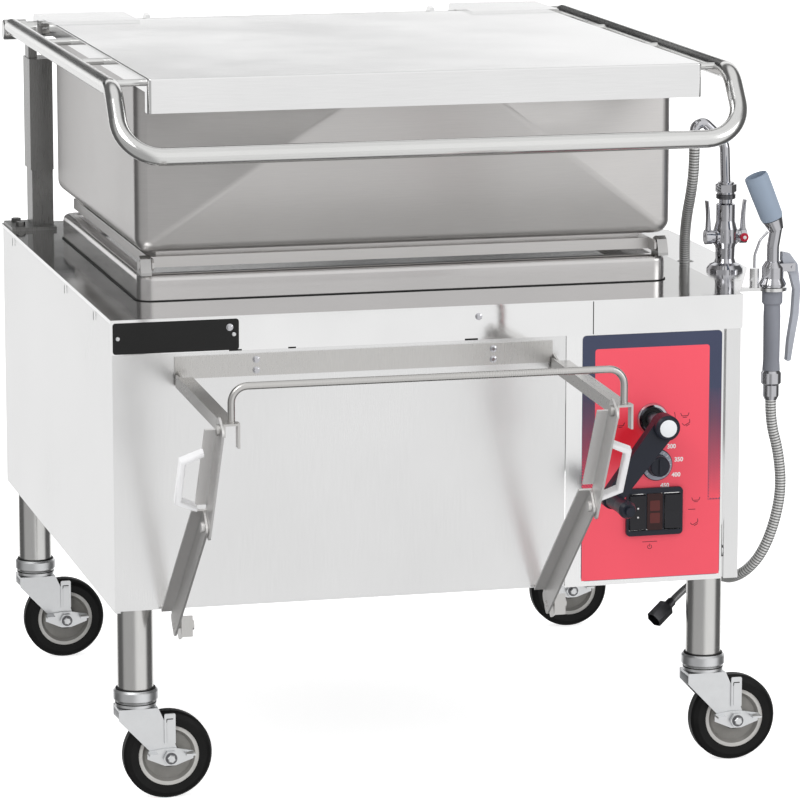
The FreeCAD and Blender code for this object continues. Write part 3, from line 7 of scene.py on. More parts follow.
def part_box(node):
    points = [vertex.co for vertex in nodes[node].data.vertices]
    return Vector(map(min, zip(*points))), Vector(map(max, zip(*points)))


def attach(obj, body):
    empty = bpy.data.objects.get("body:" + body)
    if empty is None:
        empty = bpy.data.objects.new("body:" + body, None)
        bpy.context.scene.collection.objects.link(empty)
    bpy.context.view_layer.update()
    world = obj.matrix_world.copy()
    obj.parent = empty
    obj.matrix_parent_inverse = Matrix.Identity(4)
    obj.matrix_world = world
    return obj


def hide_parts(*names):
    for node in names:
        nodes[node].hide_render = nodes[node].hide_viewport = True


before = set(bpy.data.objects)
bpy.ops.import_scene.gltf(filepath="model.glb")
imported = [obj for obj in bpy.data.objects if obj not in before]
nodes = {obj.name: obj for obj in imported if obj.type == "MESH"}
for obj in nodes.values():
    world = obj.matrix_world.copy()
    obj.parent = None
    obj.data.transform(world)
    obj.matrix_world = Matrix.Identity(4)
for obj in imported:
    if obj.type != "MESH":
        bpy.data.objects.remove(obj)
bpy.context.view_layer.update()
print("frame loaded")

# Places are written in millimetres from the middle of the cabinet, z from the floor.
originRight = 60.2
originBack = -166.9


def place(x, y, z):
    return Vector(((x - originRight) / 1000, (y - originBack) / 1000, z / 1000))


def middle(node):
    low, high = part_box(node)
    return (Vector(low) + Vector(high)) / 2


# Camera

cameraValues = {"right": -1537, "back": -6354, "up": 1723, "yaw": 14.21, "pitch": 10.79, "lens": 198.45,
                "sensor": 36, "far": 100}


def makeCamera():
    values = cameraValues
    camera = bpy.data.cameras.new("camera")
    camera.lens = values["lens"]
    camera.sensor_width = values["sensor"]
    camera.clip_end = values["far"]
    holder = bpy.data.objects.new("camera", camera)
    holder.location = place(values["right"], values["back"], values["up"])
    holder.rotation_euler = (math.radians(90 - values["pitch"]), 0, math.radians(-values["yaw"]))
    bpy.context.scene.collection.objects.link(holder)
    bpy.context.scene.camera = holder


makeCamera()
print("camera set")


# Node trees, for materials and for geometry

class Graph:
    # Adds nodes to a tree and joins them with one call each.

    def __init__(self, tree, family="ShaderNode"):
        self.tree = tree
        self.family = family

    def add(self, kind, inputs=None, **settings):
        node = self.tree.nodes.new(kind if "Node" in kind else self.family + kind)
        for key, value in settings.items():
            setattr(node, key, value)
        for key, value in (inputs or {}).items():
            if isinstance(value, bpy.types.NodeSocket):
                self.tree.links.new(value, node.inputs[key])
            else:
                node.inputs[key].default_value = value
        return node

    def math(self, operation, *values):
        return self.add("ShaderNodeMath", dict(enumerate(values)), operation=operation).outputs[0]

    def coordinates(self, scale=(1, 1, 1), shift=(0, 0, 0)):
        origin = self.add("TexCoord")
        mapped = self.add("Mapping", {"Vector": origin.outputs["Object"], "Location": shift, "Scale": scale})
        return mapped.outputs["Vector"]

    def noise(self, vector, scale, detail=3, rough=0.5):
        node = self.add("TexNoise", {"Vector": vector, "Scale": scale, "Detail": detail, "Roughness": rough})
        return node.outputs["Fac"]

    def spread(self, value, low, high, fromLow=0.3, fromHigh=0.7):
        node = self.add("ShaderNodeMapRange", {"Value": value, "From Min": fromLow, "From Max": fromHigh,
                                               "To Min": low, "To Max": high})
        return node.outputs["Result"]

    def blendColours(self, factor, first, second):
        node = self.add("Mix", {"Factor": factor}, data_type="RGBA")
        for socket, colour in ((node.inputs[6], first), (node.inputs[7], second)):
            if isinstance(colour, bpy.types.NodeSocket):
                self.tree.links.new(colour, socket)
            else:
                socket.default_value = (*colour, 1)
        return node.outputs[2]

    def shaded(self, colour, amount):
        return self.add("VectorMath", {0: colour, "Scale": amount}, operation="SCALE").outputs["Vector"]

    def bump(self, height, strength, distance):
        node = self.add("Bump", {"Height": height, "Strength": strength, "Distance": distance})
        return node.outputs["Normal"]

    def surface(self, inputs):
        shader = self.add("BsdfPrincipled", inputs)
        self.add("OutputMaterial", {"Surface": shader.outputs["BSDF"]})


def newMaterial(name):
    material = bpy.data.materials.new(name)
    material.use_nodes = True
    material.node_tree.nodes.clear()
    return material, Graph(material.node_tree)


# Finishes

def brushedSteel(name, colour, rough, grain, streak=0.02, cloud=0.03, ridge=0.04, haze=0.03):
    # Stainless sheet: fine streaks along one axis and a slow cloudiness in gloss and tone.
    material, graph = newMaterial(name)
    fine = graph.noise(graph.coordinates(grain), scale=1400, detail=2, rough=0.6)
    slow = graph.noise(graph.coordinates(), scale=3.5, detail=3, rough=0.55)
    tone = graph.math("MULTIPLY", graph.spread(fine, 1 - streak, 1 + streak),
                      graph.spread(slow, 1 - cloud, 1 + cloud))
    gloss = graph.math("ADD", graph.spread(fine, -streak, streak),
                       graph.spread(slow, rough - haze, rough + haze))
    graph.surface({"Base Color": graph.shaded(colour, tone), "Metallic": 1, "Roughness": gloss,
                   "Normal": graph.bump(fine, strength=ridge, distance=0.0001)})
    return material


def topShadedSideLitSteel(name, top, side, rough, grain):
    # Sheet whose colour follows the way each face points: its flat top is painted darker as painted shade, and its
    # folded edges lighter as painted light.
    material = brushedSteel(name, top, rough, grain)
    graph = Graph(material.node_tree)
    shader = next(node for node in material.node_tree.nodes if node.type == "BSDF_PRINCIPLED")
    shadedTop = shader.inputs["Base Color"].links[0].from_socket
    upward = graph.add("SeparateXYZ", {"Vector": graph.add("TexCoord").outputs["Normal"]}).outputs["Z"]
    patches = graph.noise(graph.coordinates(), scale=9, detail=2)
    bright = graph.shaded(side, graph.spread(patches, 0.97, 1.02))
    # Painted light and shade: faces that point up take the darker top colour, upright faces the lighter side colour.
    sideLitColour = graph.blendColours(graph.spread(upward, 0, 1), bright, shadedTop)
    material.node_tree.links.new(sideLitColour, shader.inputs["Base Color"])
    return material


def polishedMetal(name, colour, rough, smear=0.03):
    # Plated or polished metal with faint handling marks.
    material, graph = newMaterial(name)
    marks = graph.noise(graph.coordinates(), scale=45, detail=5, rough=0.65)
    pits = graph.noise(graph.coordinates(), scale=700, detail=1)
    graph.surface({"Base Color": graph.shaded(colour, graph.spread(marks, 0.94, 1.02)), "Metallic": 1,
                   "Roughness": graph.spread(marks, rough, rough + smear),
                   "Normal": graph.bump(pits, strength=0.03, distance=0.0001)})
    return material


def mouldedSurface(name, colour, rough, grainSize=600, depth=0.0001, variation=0.06, metallic=0):
    # Moulded, coated or cast surfaces with a fine grain and an uneven tone.
    material, graph = newMaterial(name)
    grain = graph.noise(graph.coordinates(), grainSize, detail=4, rough=0.6)
    slow = graph.noise(graph.coordinates(), scale=14)
    dark = tuple(value * (1 - variation) for value in colour)
    light = tuple(min(1, value * (1 + variation)) for value in colour)
    graph.surface({"Base Color": graph.blendColours(graph.spread(slow, 0, 1), dark, light),
                   "Metallic": metallic, "Roughness": graph.spread(grain, rough - 0.05, rough + 0.05),
                   "Specular IOR Level": 0.32, "Normal": graph.bump(grain, 0.3, depth)})
    return material


wheelValues = {"hub": 17, "ringInside": 38, "tread": 43.2, "bore": (0.05, 0.05, 0.05),
               "core": ((0.24, 0.235, 0.22), (0.31, 0.30, 0.285)),
               "ring": ((0.56, 0.55, 0.53), (0.64, 0.63, 0.61)),
               "rubber": ((0.004, 0.004, 0.004), (0.009, 0.009, 0.009))}


def wheelMaterial(corner):
    # Black tread, a pale ring at the rim and a darker dished core, told apart by the distance from the axle.
    material, graph = newMaterial("wheel_" + corner)
    centre = middle("wheel_" + corner)
    spot = graph.coordinates(shift=(-centre.x, -centre.y, -centre.z))
    parts = graph.add("SeparateXYZ", {"Vector": spot})
    radius = graph.math("SQRT", graph.math("ADD", graph.math("POWER", parts.outputs["X"], 2.0),
                                           graph.math("POWER", parts.outputs["Z"], 2.0)))
    grain = graph.noise(graph.coordinates(), scale=900, detail=3, rough=0.6)
    dust = graph.noise(graph.coordinates(), scale=30, detail=4, rough=0.6)
    tone = wheelValues["bore"]
    for edge, zone in (("hub", "core"), ("ringInside", "ring"), ("tread", "rubber")):
        beyond = graph.math("GREATER_THAN", radius, wheelValues[edge] / 1000)
        tone = graph.blendColours(beyond, tone, graph.blendColours(graph.spread(dust, 0, 1), *wheelValues[zone]))
    graph.surface({"Base Color": tone, "Roughness": graph.spread(dust, 0.42, 0.55),
                   "Specular IOR Level": 0.2, "Normal": graph.bump(grain, strength=0.2, distance=0.0002)})
    return material


def hoseMaterial(name, colour, groove):
    # Bright crests, and grooves painted dark as painted shade, from the "rib" value that the hose's mesh carries.
    material, graph = newMaterial(name)
    rib = graph.add("Attribute", attribute_name="rib").outputs["Fac"]
    marks = graph.noise(graph.coordinates(), scale=60, detail=4, rough=0.6)
    crest = graph.shaded(colour, graph.spread(marks, 0.92, 1.05))
    graph.surface({"Base Color": graph.blendColours(rib, groove, crest), "Metallic": 0.4,
                   "Roughness": graph.spread(rib, 0.45, 0.24, fromLow=0, fromHigh=1)})
    return material


# The deep colour round the spot is a painted shadow; the light colour is the print's own red.
printAndShadowValues = {"spot": (292, -468, 492), "inside": 0.02, "outside": 0.062, "waver": 0.012,
               "deep": (0.80, 0.016, 0.035), "light": (0.95, 0.10, 0.145)}


def printedRedAndShadow():
    # The printed field, with a painted shadow beside the crank: deeper in tone round one spot there.
    values = printAndShadowValues
    material, graph = newMaterial("panelRed")
    spot = graph.coordinates(shift=tuple(-value for value in place(*values["spot"])))
    distance = graph.add("VectorMath", {0: spot}, operation="LENGTH").outputs["Value"]
    drift = graph.spread(graph.noise(graph.coordinates(), scale=9, detail=2), -values["waver"], values["waver"])
    uneven = graph.math("ADD", distance, drift)
    paintedShadowFade = graph.spread(uneven, 0, 1, values["inside"], values["outside"])
    grain = graph.noise(graph.coordinates(), scale=600, detail=3, rough=0.6)
    graph.surface({"Base Color": graph.blendColours(paintedShadowFade, values["deep"], values["light"]),
                   "Roughness": graph.spread(grain, 0.36, 0.44), "Specular IOR Level": 0.32,
                   "Normal": graph.bump(grain, strength=0.2, distance=0.00004)})
    return material


# Which way the grain runs: the small number is the long direction of its streaks.
levelGrain = (0.02, 1, 1)
uprightGrain = (1, 1, 0.02)

finishes = {
    "red": printedRedAndShadow(),
    "stainless": brushedSteel("stainlessSheet", (0.84, 0.84, 0.84), 0.16, (1, 0.02, 0.02)),
    # The deck's darker top and lighter folded edges are painted shade and painted light.
    "deckSteel": topShadedSideLitSteel("deckSteel", (0.62, 0.62, 0.615), (0.95, 0.95, 0.95), 0.09, levelGrain),
    "collarSteel": brushedSteel("collarSteel", (0.66, 0.645, 0.64), 0.2, levelGrain),
    "bearingSteel": brushedSteel("bearingSteel", (0.50, 0.495, 0.49), 0.3, (1, 1, 0.05)),
    "stainlessUpright": brushedSteel("stainlessUpright", (0.86, 0.86, 0.86), 0.24, uprightGrain, ridge=0.012),
    "lidSteel": brushedSteel("lidSteel", (0.90, 0.90, 0.90), 0.13, levelGrain),
    # A brighter copy of the upright stainless: painted light on the control column.
    "columnSteel": brushedSteel("columnSteel", (0.96, 0.96, 0.96), 0.24, uprightGrain),
    "panSteel": brushedSteel("panSteel", (0.63, 0.615, 0.605), 0.33, (0.02, 0.02, 1), 0.03, cloud=0.05),
    # A dark copy of the stainless: painted shade on the hinge posts.
    "postSteel": brushedSteel("postSteel", (0.30, 0.30, 0.295), 0.3, uprightGrain, streak=0.05),
    "tubeSteel": brushedSteel("tubeSteel", (0.78, 0.78, 0.77), 0.17, (0.05, 1, 1)),
    "legSteel": brushedSteel("legSteel", (0.74, 0.735, 0.72), 0.22, (1, 1, 0.04), streak=0.03),
    "supportSteel": brushedSteel("supportSteel", (0.62, 0.61, 0.595), 0.3, (1, 0.05, 0.05), streak=0.04),
    "braceSteel": brushedSteel("braceSteel", (0.86, 0.85, 0.84), 0.5, (1, 1, 0.05), streak=0.04),
    "chrome": polishedMetal("chromePlate", (0.60, 0.60, 0.63), 0.04),
    "zinc": polishedMetal("zincPlate", (0.80, 0.81, 0.82), 0.3, smear=0.12),
    "darkSteel": polishedMetal("darkSteel", (0.16, 0.16, 0.17), 0.28, smear=0.1),
    "steelCast": mouldedSurface("castSteel", (0.42, 0.44, 0.48), 0.34, 260, 0.0002, 0.08, metallic=1),
    "brass": polishedMetal("brassWorn", (0.62, 0.46, 0.22), 0.25, smear=0.1),
    "iron": mouldedSurface("castIron", (0.09, 0.095, 0.10), 0.55, 300, 0.0006, 0.1, metallic=0.6),
    "black": mouldedSurface("blackMoulding", (0.014, 0.017, 0.028), 0.36, grainSize=900),
    "blackGloss": mouldedSurface("blackGloss", (0.014, 0.014, 0.018), 0.2, 500, depth=0.00004),
    # Black for the data plate and the dark seams, and painted shade in slots, gaps and the bezel's hole.
    "blackAndShade": mouldedSurface("blackAndShade", (0.01, 0.01, 0.01), 0.6, 500, depth=0.00004),
    "white": mouldedSurface("whiteMoulding", (0.88, 0.88, 0.89), 0.35, 500, variation=0.03),
    "paleDisc": mouldedSurface("paleDisc", (0.86, 0.88, 0.90), 0.3, 500, 0.00005, variation=0.02),
    "navy": mouldedSurface("panelNavy", (0.052, 0.062, 0.115), 0.32, depth=0.00004),
    "marking": mouldedSurface("markingInk", (0.10, 0.012, 0.022), 0.4, depth=0.00004),
    "whiteInk": mouldedSurface("whiteInk", (0.88, 0.86, 0.86), 0.4, depth=0.00004, variation=0.02),
    "dialGrey": mouldedSurface("dialGrey", (0.30, 0.32, 0.38), 0.3, depth=0.00004),
    "lens": mouldedSurface("lensBody", (0.03, 0.008, 0.008), 0.15, 300, depth=0.00003),
    "lensWindow": mouldedSurface("lensWindow", (0.11, 0.022, 0.02), 0.1, 300, depth=0.00003),
    "signalRed": mouldedSurface("signalRed", (0.55, 0.02, 0.05), 0.15, 300, depth=0.00003),
    "bumper": mouldedSurface("bumperRubber", (0.33, 0.40, 0.50), 0.5, 800, depth=0.0002),
    "grip": mouldedSurface("gripRubber", (0.27, 0.28, 0.32), 0.5, 800, depth=0.0002),
    "lever": mouldedSurface("leverCoat", (0.42, 0.44, 0.49), 0.4),
}

corners = ("front_left", "front_right", "rear_left", "rear_right")
nodeFinishes = {
    "stainless": ["faucet_bracket", "base_frame"],
    "deckSteel": ["cabinet_deck"],
    "collarSteel": ["pan_collar"],
    "bearingSteel": ["tilt_bearings"],
    "lidSteel": ["lid_shell", "lid_hinge_arms", "lid_hinge_brackets"],
    "stainlessUpright": ["cabinet_panels", "front_panel"],
    "columnSteel": ["control_column"],
    "panSteel": ["pan_shell", "pan_frame"],
    "postSteel": ["hinge_posts"],
    "tubeSteel": ["handle_rail", "hinge_shaft"],
    "legSteel": ["legs"],
    "supportSteel": ["shelf_frame", "shelf_back_plate", "brace_brackets"],
    "braceSteel": ["upper_braces", "lower_braces"],
    "chrome": ["crank_bezel", "faucet_body", "riser_tube", "spray_valve", "hot_lever", "cold_lever",
               "panel_screws"],
    "steelCast": ["worm_shaft", "heater_blocks"],
    "white": ["brace_grips"],
    "navy": ["control_overlay"],
    "black": ["crank_handle", "crank_grip", "switch_bezel", "thermostat_knob"],
    "blackGloss": ["power_rocker", "tilt_rocker"],
    "lens": ["heat_lens"],
    "bumper": ["spray_head"],
    "grip": ["spray_grip"],
    "lever": ["spray_lever"],
    "darkSteel": ["supply_nut"],
    "brass": ["worm_wheel"],
    "iron": ["gearbox_housing"],
    "zinc": ["fork_" + corner for corner in corners] + ["brake_pedal_" + corner for corner in corners],
}


def finishNode(name, material):
    nodes[name].data.materials.clear()
    nodes[name].data.materials.append(material)


for finish, names in nodeFinishes.items():
    for name in names:
        finishNode(name, finishes[finish])
for corner in corners:
    finishNode("wheel_" + corner, wheelMaterial(corner))
print("node finishes set")


# Helpers for the pieces that are added to the frame

weldDistance = 0.00001
facingFront = (0, -1, 0)
facingUp = (0, 0, 1)
standUp = Matrix.Rotation(math.pi / 2, 4, "X")

def keepPiece(name, mesh, body, finish=None):
    if finish:
        mesh.materials.append(finishes[finish])
    piece = bpy.data.objects.new(name, mesh)
    bpy.context.scene.collection.objects.link(piece)
    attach(piece, body)
    return piece


def meshFrom(name, work):
    bmesh.ops.remove_doubles(work, verts=work.verts, dist=weldDistance)
    bmesh.ops.recalc_face_normals(work, faces=work.faces)
    mesh = bpy.data.meshes.new(name)
    work.to_mesh(mesh)
    work.free()
    return mesh


def frontPlates(name, outlines, back, thickness, body, finish):
    # Flat plates on a face that looks forward; each outline is a ring of x and z.
    work = bmesh.new()
    for outline in outlines:
        face = work.faces.new([work.verts.new(place(x, back, z)) for x, z in outline])
        grown = bmesh.ops.extrude_face_region(work, geom=[face])
        moved = [item for item in grown["geom"] if isinstance(item, bmesh.types.BMVert)]
        bmesh.ops.translate(work, verts=moved, vec=(0, -thickness / 1000, 0))
    return keepPiece(name, meshFrom(name, work), body, finish)


def piercedPlate(name, outline, holes, back, thickness, body, finish):
    # A flat plate that looks forward, with holes right through it.
    curve = bpy.data.curves.new(name, "CURVE")
    curve.dimensions = "2D"
    curve.fill_mode = "BOTH"
    curve.extrude = thickness / 2000
    for ring in [outline] + holes:
        spline = curve.splines.new("POLY")
        spline.points.add(len(ring) - 1)
        for point, (x, z) in zip(spline.points, ring):
            point.co = (x / 1000, z / 1000, 0, 1)
        spline.use_cyclic_u = True
    holder = bpy.data.objects.new(name, curve)
    mesh = bpy.data.meshes.new_from_object(holder)
    bpy.data.objects.remove(holder)
    mesh.transform(Matrix.Translation(place(0, back - thickness / 2, 0)) @ standUp)
    mesh.materials.clear()
    return keepPiece(name, mesh, body, finish)


def arcPoints(centre, radius, start, end, steps):
    turns = [math.radians(start + (end - start) * k / steps) for k in range(steps + 1)]
    return [(centre[0] + radius * math.cos(turn), centre[1] + radius * math.sin(turn)) for turn in turns]


def roundedOutline(left, bottom, width, height, radius, steps=8):
    right, top = left + width - radius, bottom + height - radius
    return (arcPoints((right, bottom + radius), radius, -90, 0, steps)
            + arcPoints((right, top), radius, 0, 90, steps)
            + arcPoints((left + radius, top), radius, 90, 180, steps)
            + arcPoints((left + radius, bottom + radius), radius, 180, 270, steps))


def bar(x, z, length, angle, width):
    # A thin straight mark from a point, as a ring of four corners.
    turn = math.radians(angle)
    along = Vector((math.cos(turn), math.sin(turn))) * length
    side = Vector((-math.sin(turn), math.cos(turn))) * width / 2
    start = Vector((x, z))
    ring = (start - side, start + along - side, start + along + side, start + side)
    return [tuple(point) for point in ring]


def band(centre, radius, start, end, width, steps=16):
    # A curved mark between two angles.
    return (arcPoints(centre, radius + width / 2, start, end, steps)
            + arcPoints(centre, radius - width / 2, end, start, steps))
def shifted(shape, right, up):
    # The numbers of a shape, with its first two moved.
    return (shape[0] + right, shape[1] + up, *shape[2:])


def ringProfile(inside, outside, low, high, bevel=0):
    # The section of a ring for turned(), with its outer edges sloped off where a bevel is given.
    return [(inside, low), (outside, low + bevel), (outside, high - bevel), (inside, high), (inside, low)]


def turned(name, profile, centre, axis, body, finish, segments=48, sharp=35):
    # Revolves a profile of radius and height, both in millimetres, about an axis through the centre.
    work = bmesh.new()
    up = Vector(axis).normalized()
    side = up.orthogonal().normalized()
    across = up.cross(side)
    rings = []
    for radius, height in profile:
        base = Vector(centre) + up * height / 1000
        if radius == 0:
            rings.append([work.verts.new(base)])
            continue
        turns = [2 * math.pi * k / segments for k in range(segments)]
        rings.append([work.verts.new(base + (side * math.cos(turn) + across * math.sin(turn)) * radius / 1000)
                      for turn in turns])
    for lower, upper in zip(rings, rings[1:]):
        for k in range(segments):
            after = (k + 1) % segments
            ring = [lower[k % len(lower)], lower[after % len(lower)], upper[after % len(upper)],
                    upper[k % len(upper)]]
            unlike = list(dict.fromkeys(ring))
            if len(unlike) > 2:
                work.faces.new(unlike)
    mesh = meshFrom(name, work)
    mesh.shade_smooth()
    mesh.set_sharp_from_angle(angle=math.radians(sharp))
    return keepPiece(name, mesh, body, finish)


def geometryTree(name, inputs):
    # An empty geometry tree with its named inputs.
    tree = bpy.data.node_groups.new(name, "GeometryNodeTree")
    tree.interface.new_socket("Geometry", in_out="INPUT", socket_type="NodeSocketGeometry")
    for label, kind in inputs.items():
        tree.interface.new_socket(label, in_out="INPUT", socket_type="NodeSocket" + kind)
    tree.interface.new_socket("Geometry", in_out="OUTPUT", socket_type="NodeSocketGeometry")
    graph = Graph(tree, "GeometryNode")
    return graph, graph.add("NodeGroupInput").outputs


def closeTree(graph, geometry, finish):
    real = graph.add("RealizeInstances", {"Geometry": geometry})
    painted = graph.add("SetMaterial", {"Geometry": real.outputs[0], "Material": finish})
    graph.add("NodeGroupOutput", {0: painted.outputs[0]})


def grow(name, graph, values, body, source=None):
    # Runs a geometry tree once and keeps its result as a plain mesh.
    holder = bpy.data.objects.new(name + "_source", source or bpy.data.meshes.new(name + "_source"))
    bpy.context.scene.collection.objects.link(holder)
    modifier = holder.modifiers.new("tree", "NODES")
    modifier.node_group = graph.tree
    for item in graph.tree.interface.items_tree:
        if item.in_out == "INPUT" and item.name in values:
            modifier[item.identifier] = values[item.name]
    bpy.context.view_layer.update()
    mesh = bpy.data.meshes.new_from_object(holder.evaluated_get(bpy.context.evaluated_depsgraph_get()))
    bpy.data.objects.remove(holder)
    mesh.name = name
    return keepPiece(name, mesh, body)


# Hoses

hoseValues = {"ringsPerRib": 4, "sides": 16, "sharp": 50}
# Each hose's groove colour is painted shade in its grooves.
sprayHoseValues = {"name": "spray_hose_line", "node": "spray_hose", "slot": "hose", "diameter": 16,
                   "length": 1.060, "ribs": 256, "groove": 0.82, "farEnd": "object", "material": "sprayHose",
                   "crestColour": (0.96, 0.96, 0.95), "grooveShadeColour": (0.16, 0.16, 0.155)}
sprayHoseRoute = [
    (453, -250, 880), (453, -250, 846), (453, -236, 806), (455, -210, 768), (464, -174, 724),
    (471, -157, 672), (475, -146, 612), (475, -140, 544), (476, -144, 470), (476, -152, 402),
    (478, -172, 338), (480, -200, 284), (486, -240, 246), (497, -286, 234), (513, -327, 252),
    (534, -345, 284), (551, -351, 332), (560, -352, 384), (555, -351, 438), (542, -350, 484),
    (542, -350, 516)]
supplyHoseValues = {"name": "supply_hose_line", "node": "supply_hose", "slot": "braid", "diameter": 11,
                    "length": 0.492, "ribs": 220, "groove": 0.94, "farEnd": "fitting", "material": "supplyHose",
                    "crestColour": (0.45, 0.45, 0.45), "grooveShadeColour": (0.12, 0.12, 0.12)}
supplyHoseRoute = [
    (500, -257, 649.6), (499, -257, 596), (494, -258, 532), (486, -262, 462), (480, -266, 394),
    (478, -274, 336), (471, -291, 291), (455, -313, 262), (432, -337, 246), (408, -352, 236),
    (391, -360, 224)]


def hoseCurve(values, route):
    curve = bpy.data.curves.new(values["name"] + "_route", "CURVE")
    curve.dimensions = "3D"
    curve.resolution_u = 12
    spline = curve.splines.new("NURBS")
    spline.points.add(len(route) - 1)
    for point, corner in zip(spline.points, route):
        point.co = (*place(*corner), 1)
    spline.order_u = 3
    spline.use_endpoint_u = True
    return curve


def splinePoints(curve):
    holder = bpy.data.objects.new("route", curve)
    mesh = bpy.data.meshes.new_from_object(holder)
    points = [tuple(vertex.co) for vertex in mesh.vertices]
    bpy.data.objects.remove(holder)
    bpy.data.meshes.remove(mesh)
    return points


def ribbedHoseTree():
    # Each rib takes four rings of the tube, two on its crest and two in its groove.
    graph, given = geometryTree("ribbedHose", {"Rings": "Int", "Radius": "Float", "Groove": "Float",
                                               "Finish": "Material"})
    rings = graph.add("ResampleCurve", {"Curve": given["Geometry"], "Count": given["Rings"]})
    order = graph.add("InputIndex").outputs[0]
    crest = graph.math("LESS_THAN", graph.math("MODULO", order, hoseValues["ringsPerRib"]), 1.5)
    width = graph.add("ShaderNodeMapRange", {"Value": crest, "To Min": given["Groove"], "To Max": 1.0})
    sized = graph.add("SetCurveRadius", {"Curve": rings.outputs[0], "Radius": width.outputs[0]})
    # The rib value also marks the grooves, which the hose's finish paints dark as painted shade.
    named = graph.add("StoreNamedAttribute", {"Geometry": sized.outputs[0], "Name": "rib", "Value": crest},
                      data_type="FLOAT", domain="POINT")
    section = graph.add("CurvePrimitiveCircle", {"Resolution": hoseValues["sides"], "Radius": given["Radius"]})
    tube = graph.add("CurveToMesh", {"Curve": named.outputs[0], "Profile Curve": section.outputs[0],
                                     "Fill Caps": True})
    closeTree(graph, tube.outputs[0], given["Finish"])
    return graph


def makeHose(graph, values, route):
    curve = hoseCurve(values, route)
    points = splinePoints(curve)
    finish = hoseMaterial(values["material"], values["crestColour"], values["grooveShadeColour"])
    inputs = {"Rings": values["ribs"] * hoseValues["ringsPerRib"] + 2, "Radius": values["diameter"] / 2000,
              "Groove": values["groove"], "Finish": finish}
    hose = grow(values["name"], graph, inputs, "cabinet", curve)
    hose.data.shade_smooth()
    hose.data.set_sharp_from_angle(angle=math.radians(hoseValues["sharp"]))
    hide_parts(values["node"])


hoseTree = ribbedHoseTree()
makeHose(hoseTree, sprayHoseValues, sprayHoseRoute)
makeHose(hoseTree, supplyHoseValues, supplyHoseRoute)
print("hoses laid")


# Control panel

overlayValues = {"front": -468.3, "left": 220, "bottom": 288, "width": 207, "height": 356, "border": 18,
                 "topBorder": 20, "corner": 4, "fadeBottom": 398, "fadeTop": 556, "pitch": 4.4, "print": 0.12}


def overlayField():
    # Full width at the bottom, then narrower between two navy borders, with rounded upper corners.
    values = overlayValues
    left, bottom = values["left"] + 0.6, values["bottom"] + 0.6
    right, top = left + values["width"] - 1.2, values["bottom"] + values["height"] - values["topBorder"]
    inLeft, inRight = left + values["border"], right - values["border"]
    corner, step = values["corner"], values["fadeBottom"]
    return ([(left, bottom), (right, bottom), (right, step), (inRight, step)]
            + arcPoints((inRight - corner, top - corner), corner, 0, 90, 6)
            + arcPoints((inLeft + corner, top - corner), corner, 90, 180, 6)
            + [(inLeft, step), (left, step)])


def dotFadeTree():
    # Staggered rows of diamonds on a border, smaller towards the top, that fill it at the bottom without overlap.
    graph, given = geometryTree("dotFade", {"Width": "Float", "Height": "Float", "Columns": "Int", "Rows": "Int",
                                            "Pitch": "Float", "Small": "Float", "Large": "Float",
                                            "Place": "Vector", "Finish": "Material"})
    grid = graph.add("MeshGrid", {"Size X": given["Width"], "Size Y": given["Height"],
                                  "Vertices X": given["Columns"], "Vertices Y": given["Rows"]})
    spot = graph.add("ShaderNodeSeparateXYZ", {"Vector": graph.add("InputPosition").outputs[0]})
    height = spot.outputs["Y"]
    row = graph.math("ROUND", graph.math("DIVIDE", height, graph.math("DIVIDE", given["Pitch"], 2.0)))
    shift = graph.math("MULTIPLY", graph.math("PINGPONG", row, 1.0), graph.math("DIVIDE", given["Pitch"], 2.0))
    moved = graph.add("ShaderNodeCombineXYZ", {"X": shift})
    staggered = graph.add("SetPosition", {"Geometry": grid.outputs[0], "Offset": moved.outputs[0]})
    half = graph.math("DIVIDE", given["Height"], 2.0)
    size = graph.add("ShaderNodeMapRange", {"Value": height, "From Min": graph.math("MULTIPLY", half, -1.0),
                                            "From Max": half, "To Min": given["Large"],
                                            "To Max": given["Small"]})
    scale = graph.add("ShaderNodeCombineXYZ", {"X": size.outputs[0], "Y": size.outputs[0], "Z": 1.0})
    dot = graph.add("MeshCylinder", {"Vertices": 4, "Radius": 1.0, "Depth": 0.0001})
    dots = graph.add("InstanceOnPoints", {"Points": staggered.outputs[0], "Instance": dot.outputs[0],
                                          "Scale": scale.outputs[0]})
    stood = graph.add("Transform", {"Geometry": dots.outputs[0], "Rotation": (math.pi / 2, 0, 0),
                                    "Translation": given["Place"]})
    closeTree(graph, stood.outputs[0], given["Finish"])
    return graph


def makeOverlay():
    values = overlayValues
    holes = [arcPoints((324, 520), 18.4, 0, 351, 39), arcPoints((331, 453), 9, 0, 345, 23),
             roundedOutline(287.5, 353, 80, 65, 1)]
    piercedPlate("overlay_field", overlayField(), holes, values["front"], values["print"], "cabinet", "red")
    graph = dotFadeTree()
    pitch = values["pitch"]
    columns = int(values["border"] / pitch) - 1
    rows = round((values["fadeTop"] - values["fadeBottom"]) / (pitch / 2))
    width, height = columns * pitch, rows * pitch / 2
    for name, shift in (("left", 0), ("right", values["width"] - values["border"])):
        centre = place(values["left"] + shift + values["border"] / 2 - pitch / 4, values["front"] - 0.05,
                       values["fadeBottom"] + height / 2 + pitch / 2)
        grow("overlay_dots_" + name, graph,
             {"Width": width / 1000, "Height": height / 1000, "Columns": columns + 1, "Rows": rows + 1,
              "Pitch": pitch / 1000, "Small": 0.0003, "Large": pitch * 0.00049, "Place": centre,
              "Finish": finishes["red"]}, "cabinet")


dialValues = {"right": 331, "height": 453, "numbers": 33.5, "first": 100, "step": 50, "count": 8,
              "start": 205, "turn": -39, "letter": 6.2, "ringInside": 16.2, "ringOutside": 22.9}


def flatText(text, height):
    curve = bpy.data.curves.new("text", "FONT")
    curve.body = text
    curve.size = height / 1000 * 1.4
    curve.align_x = "CENTER"
    curve.align_y = "CENTER"
    curve.extrude = 0.00005
    curve.offset = height / 1000 * 0.045
    holder = bpy.data.objects.new("text", curve)
    mesh = bpy.data.meshes.new_from_object(holder)
    bpy.data.objects.remove(holder)
    return mesh


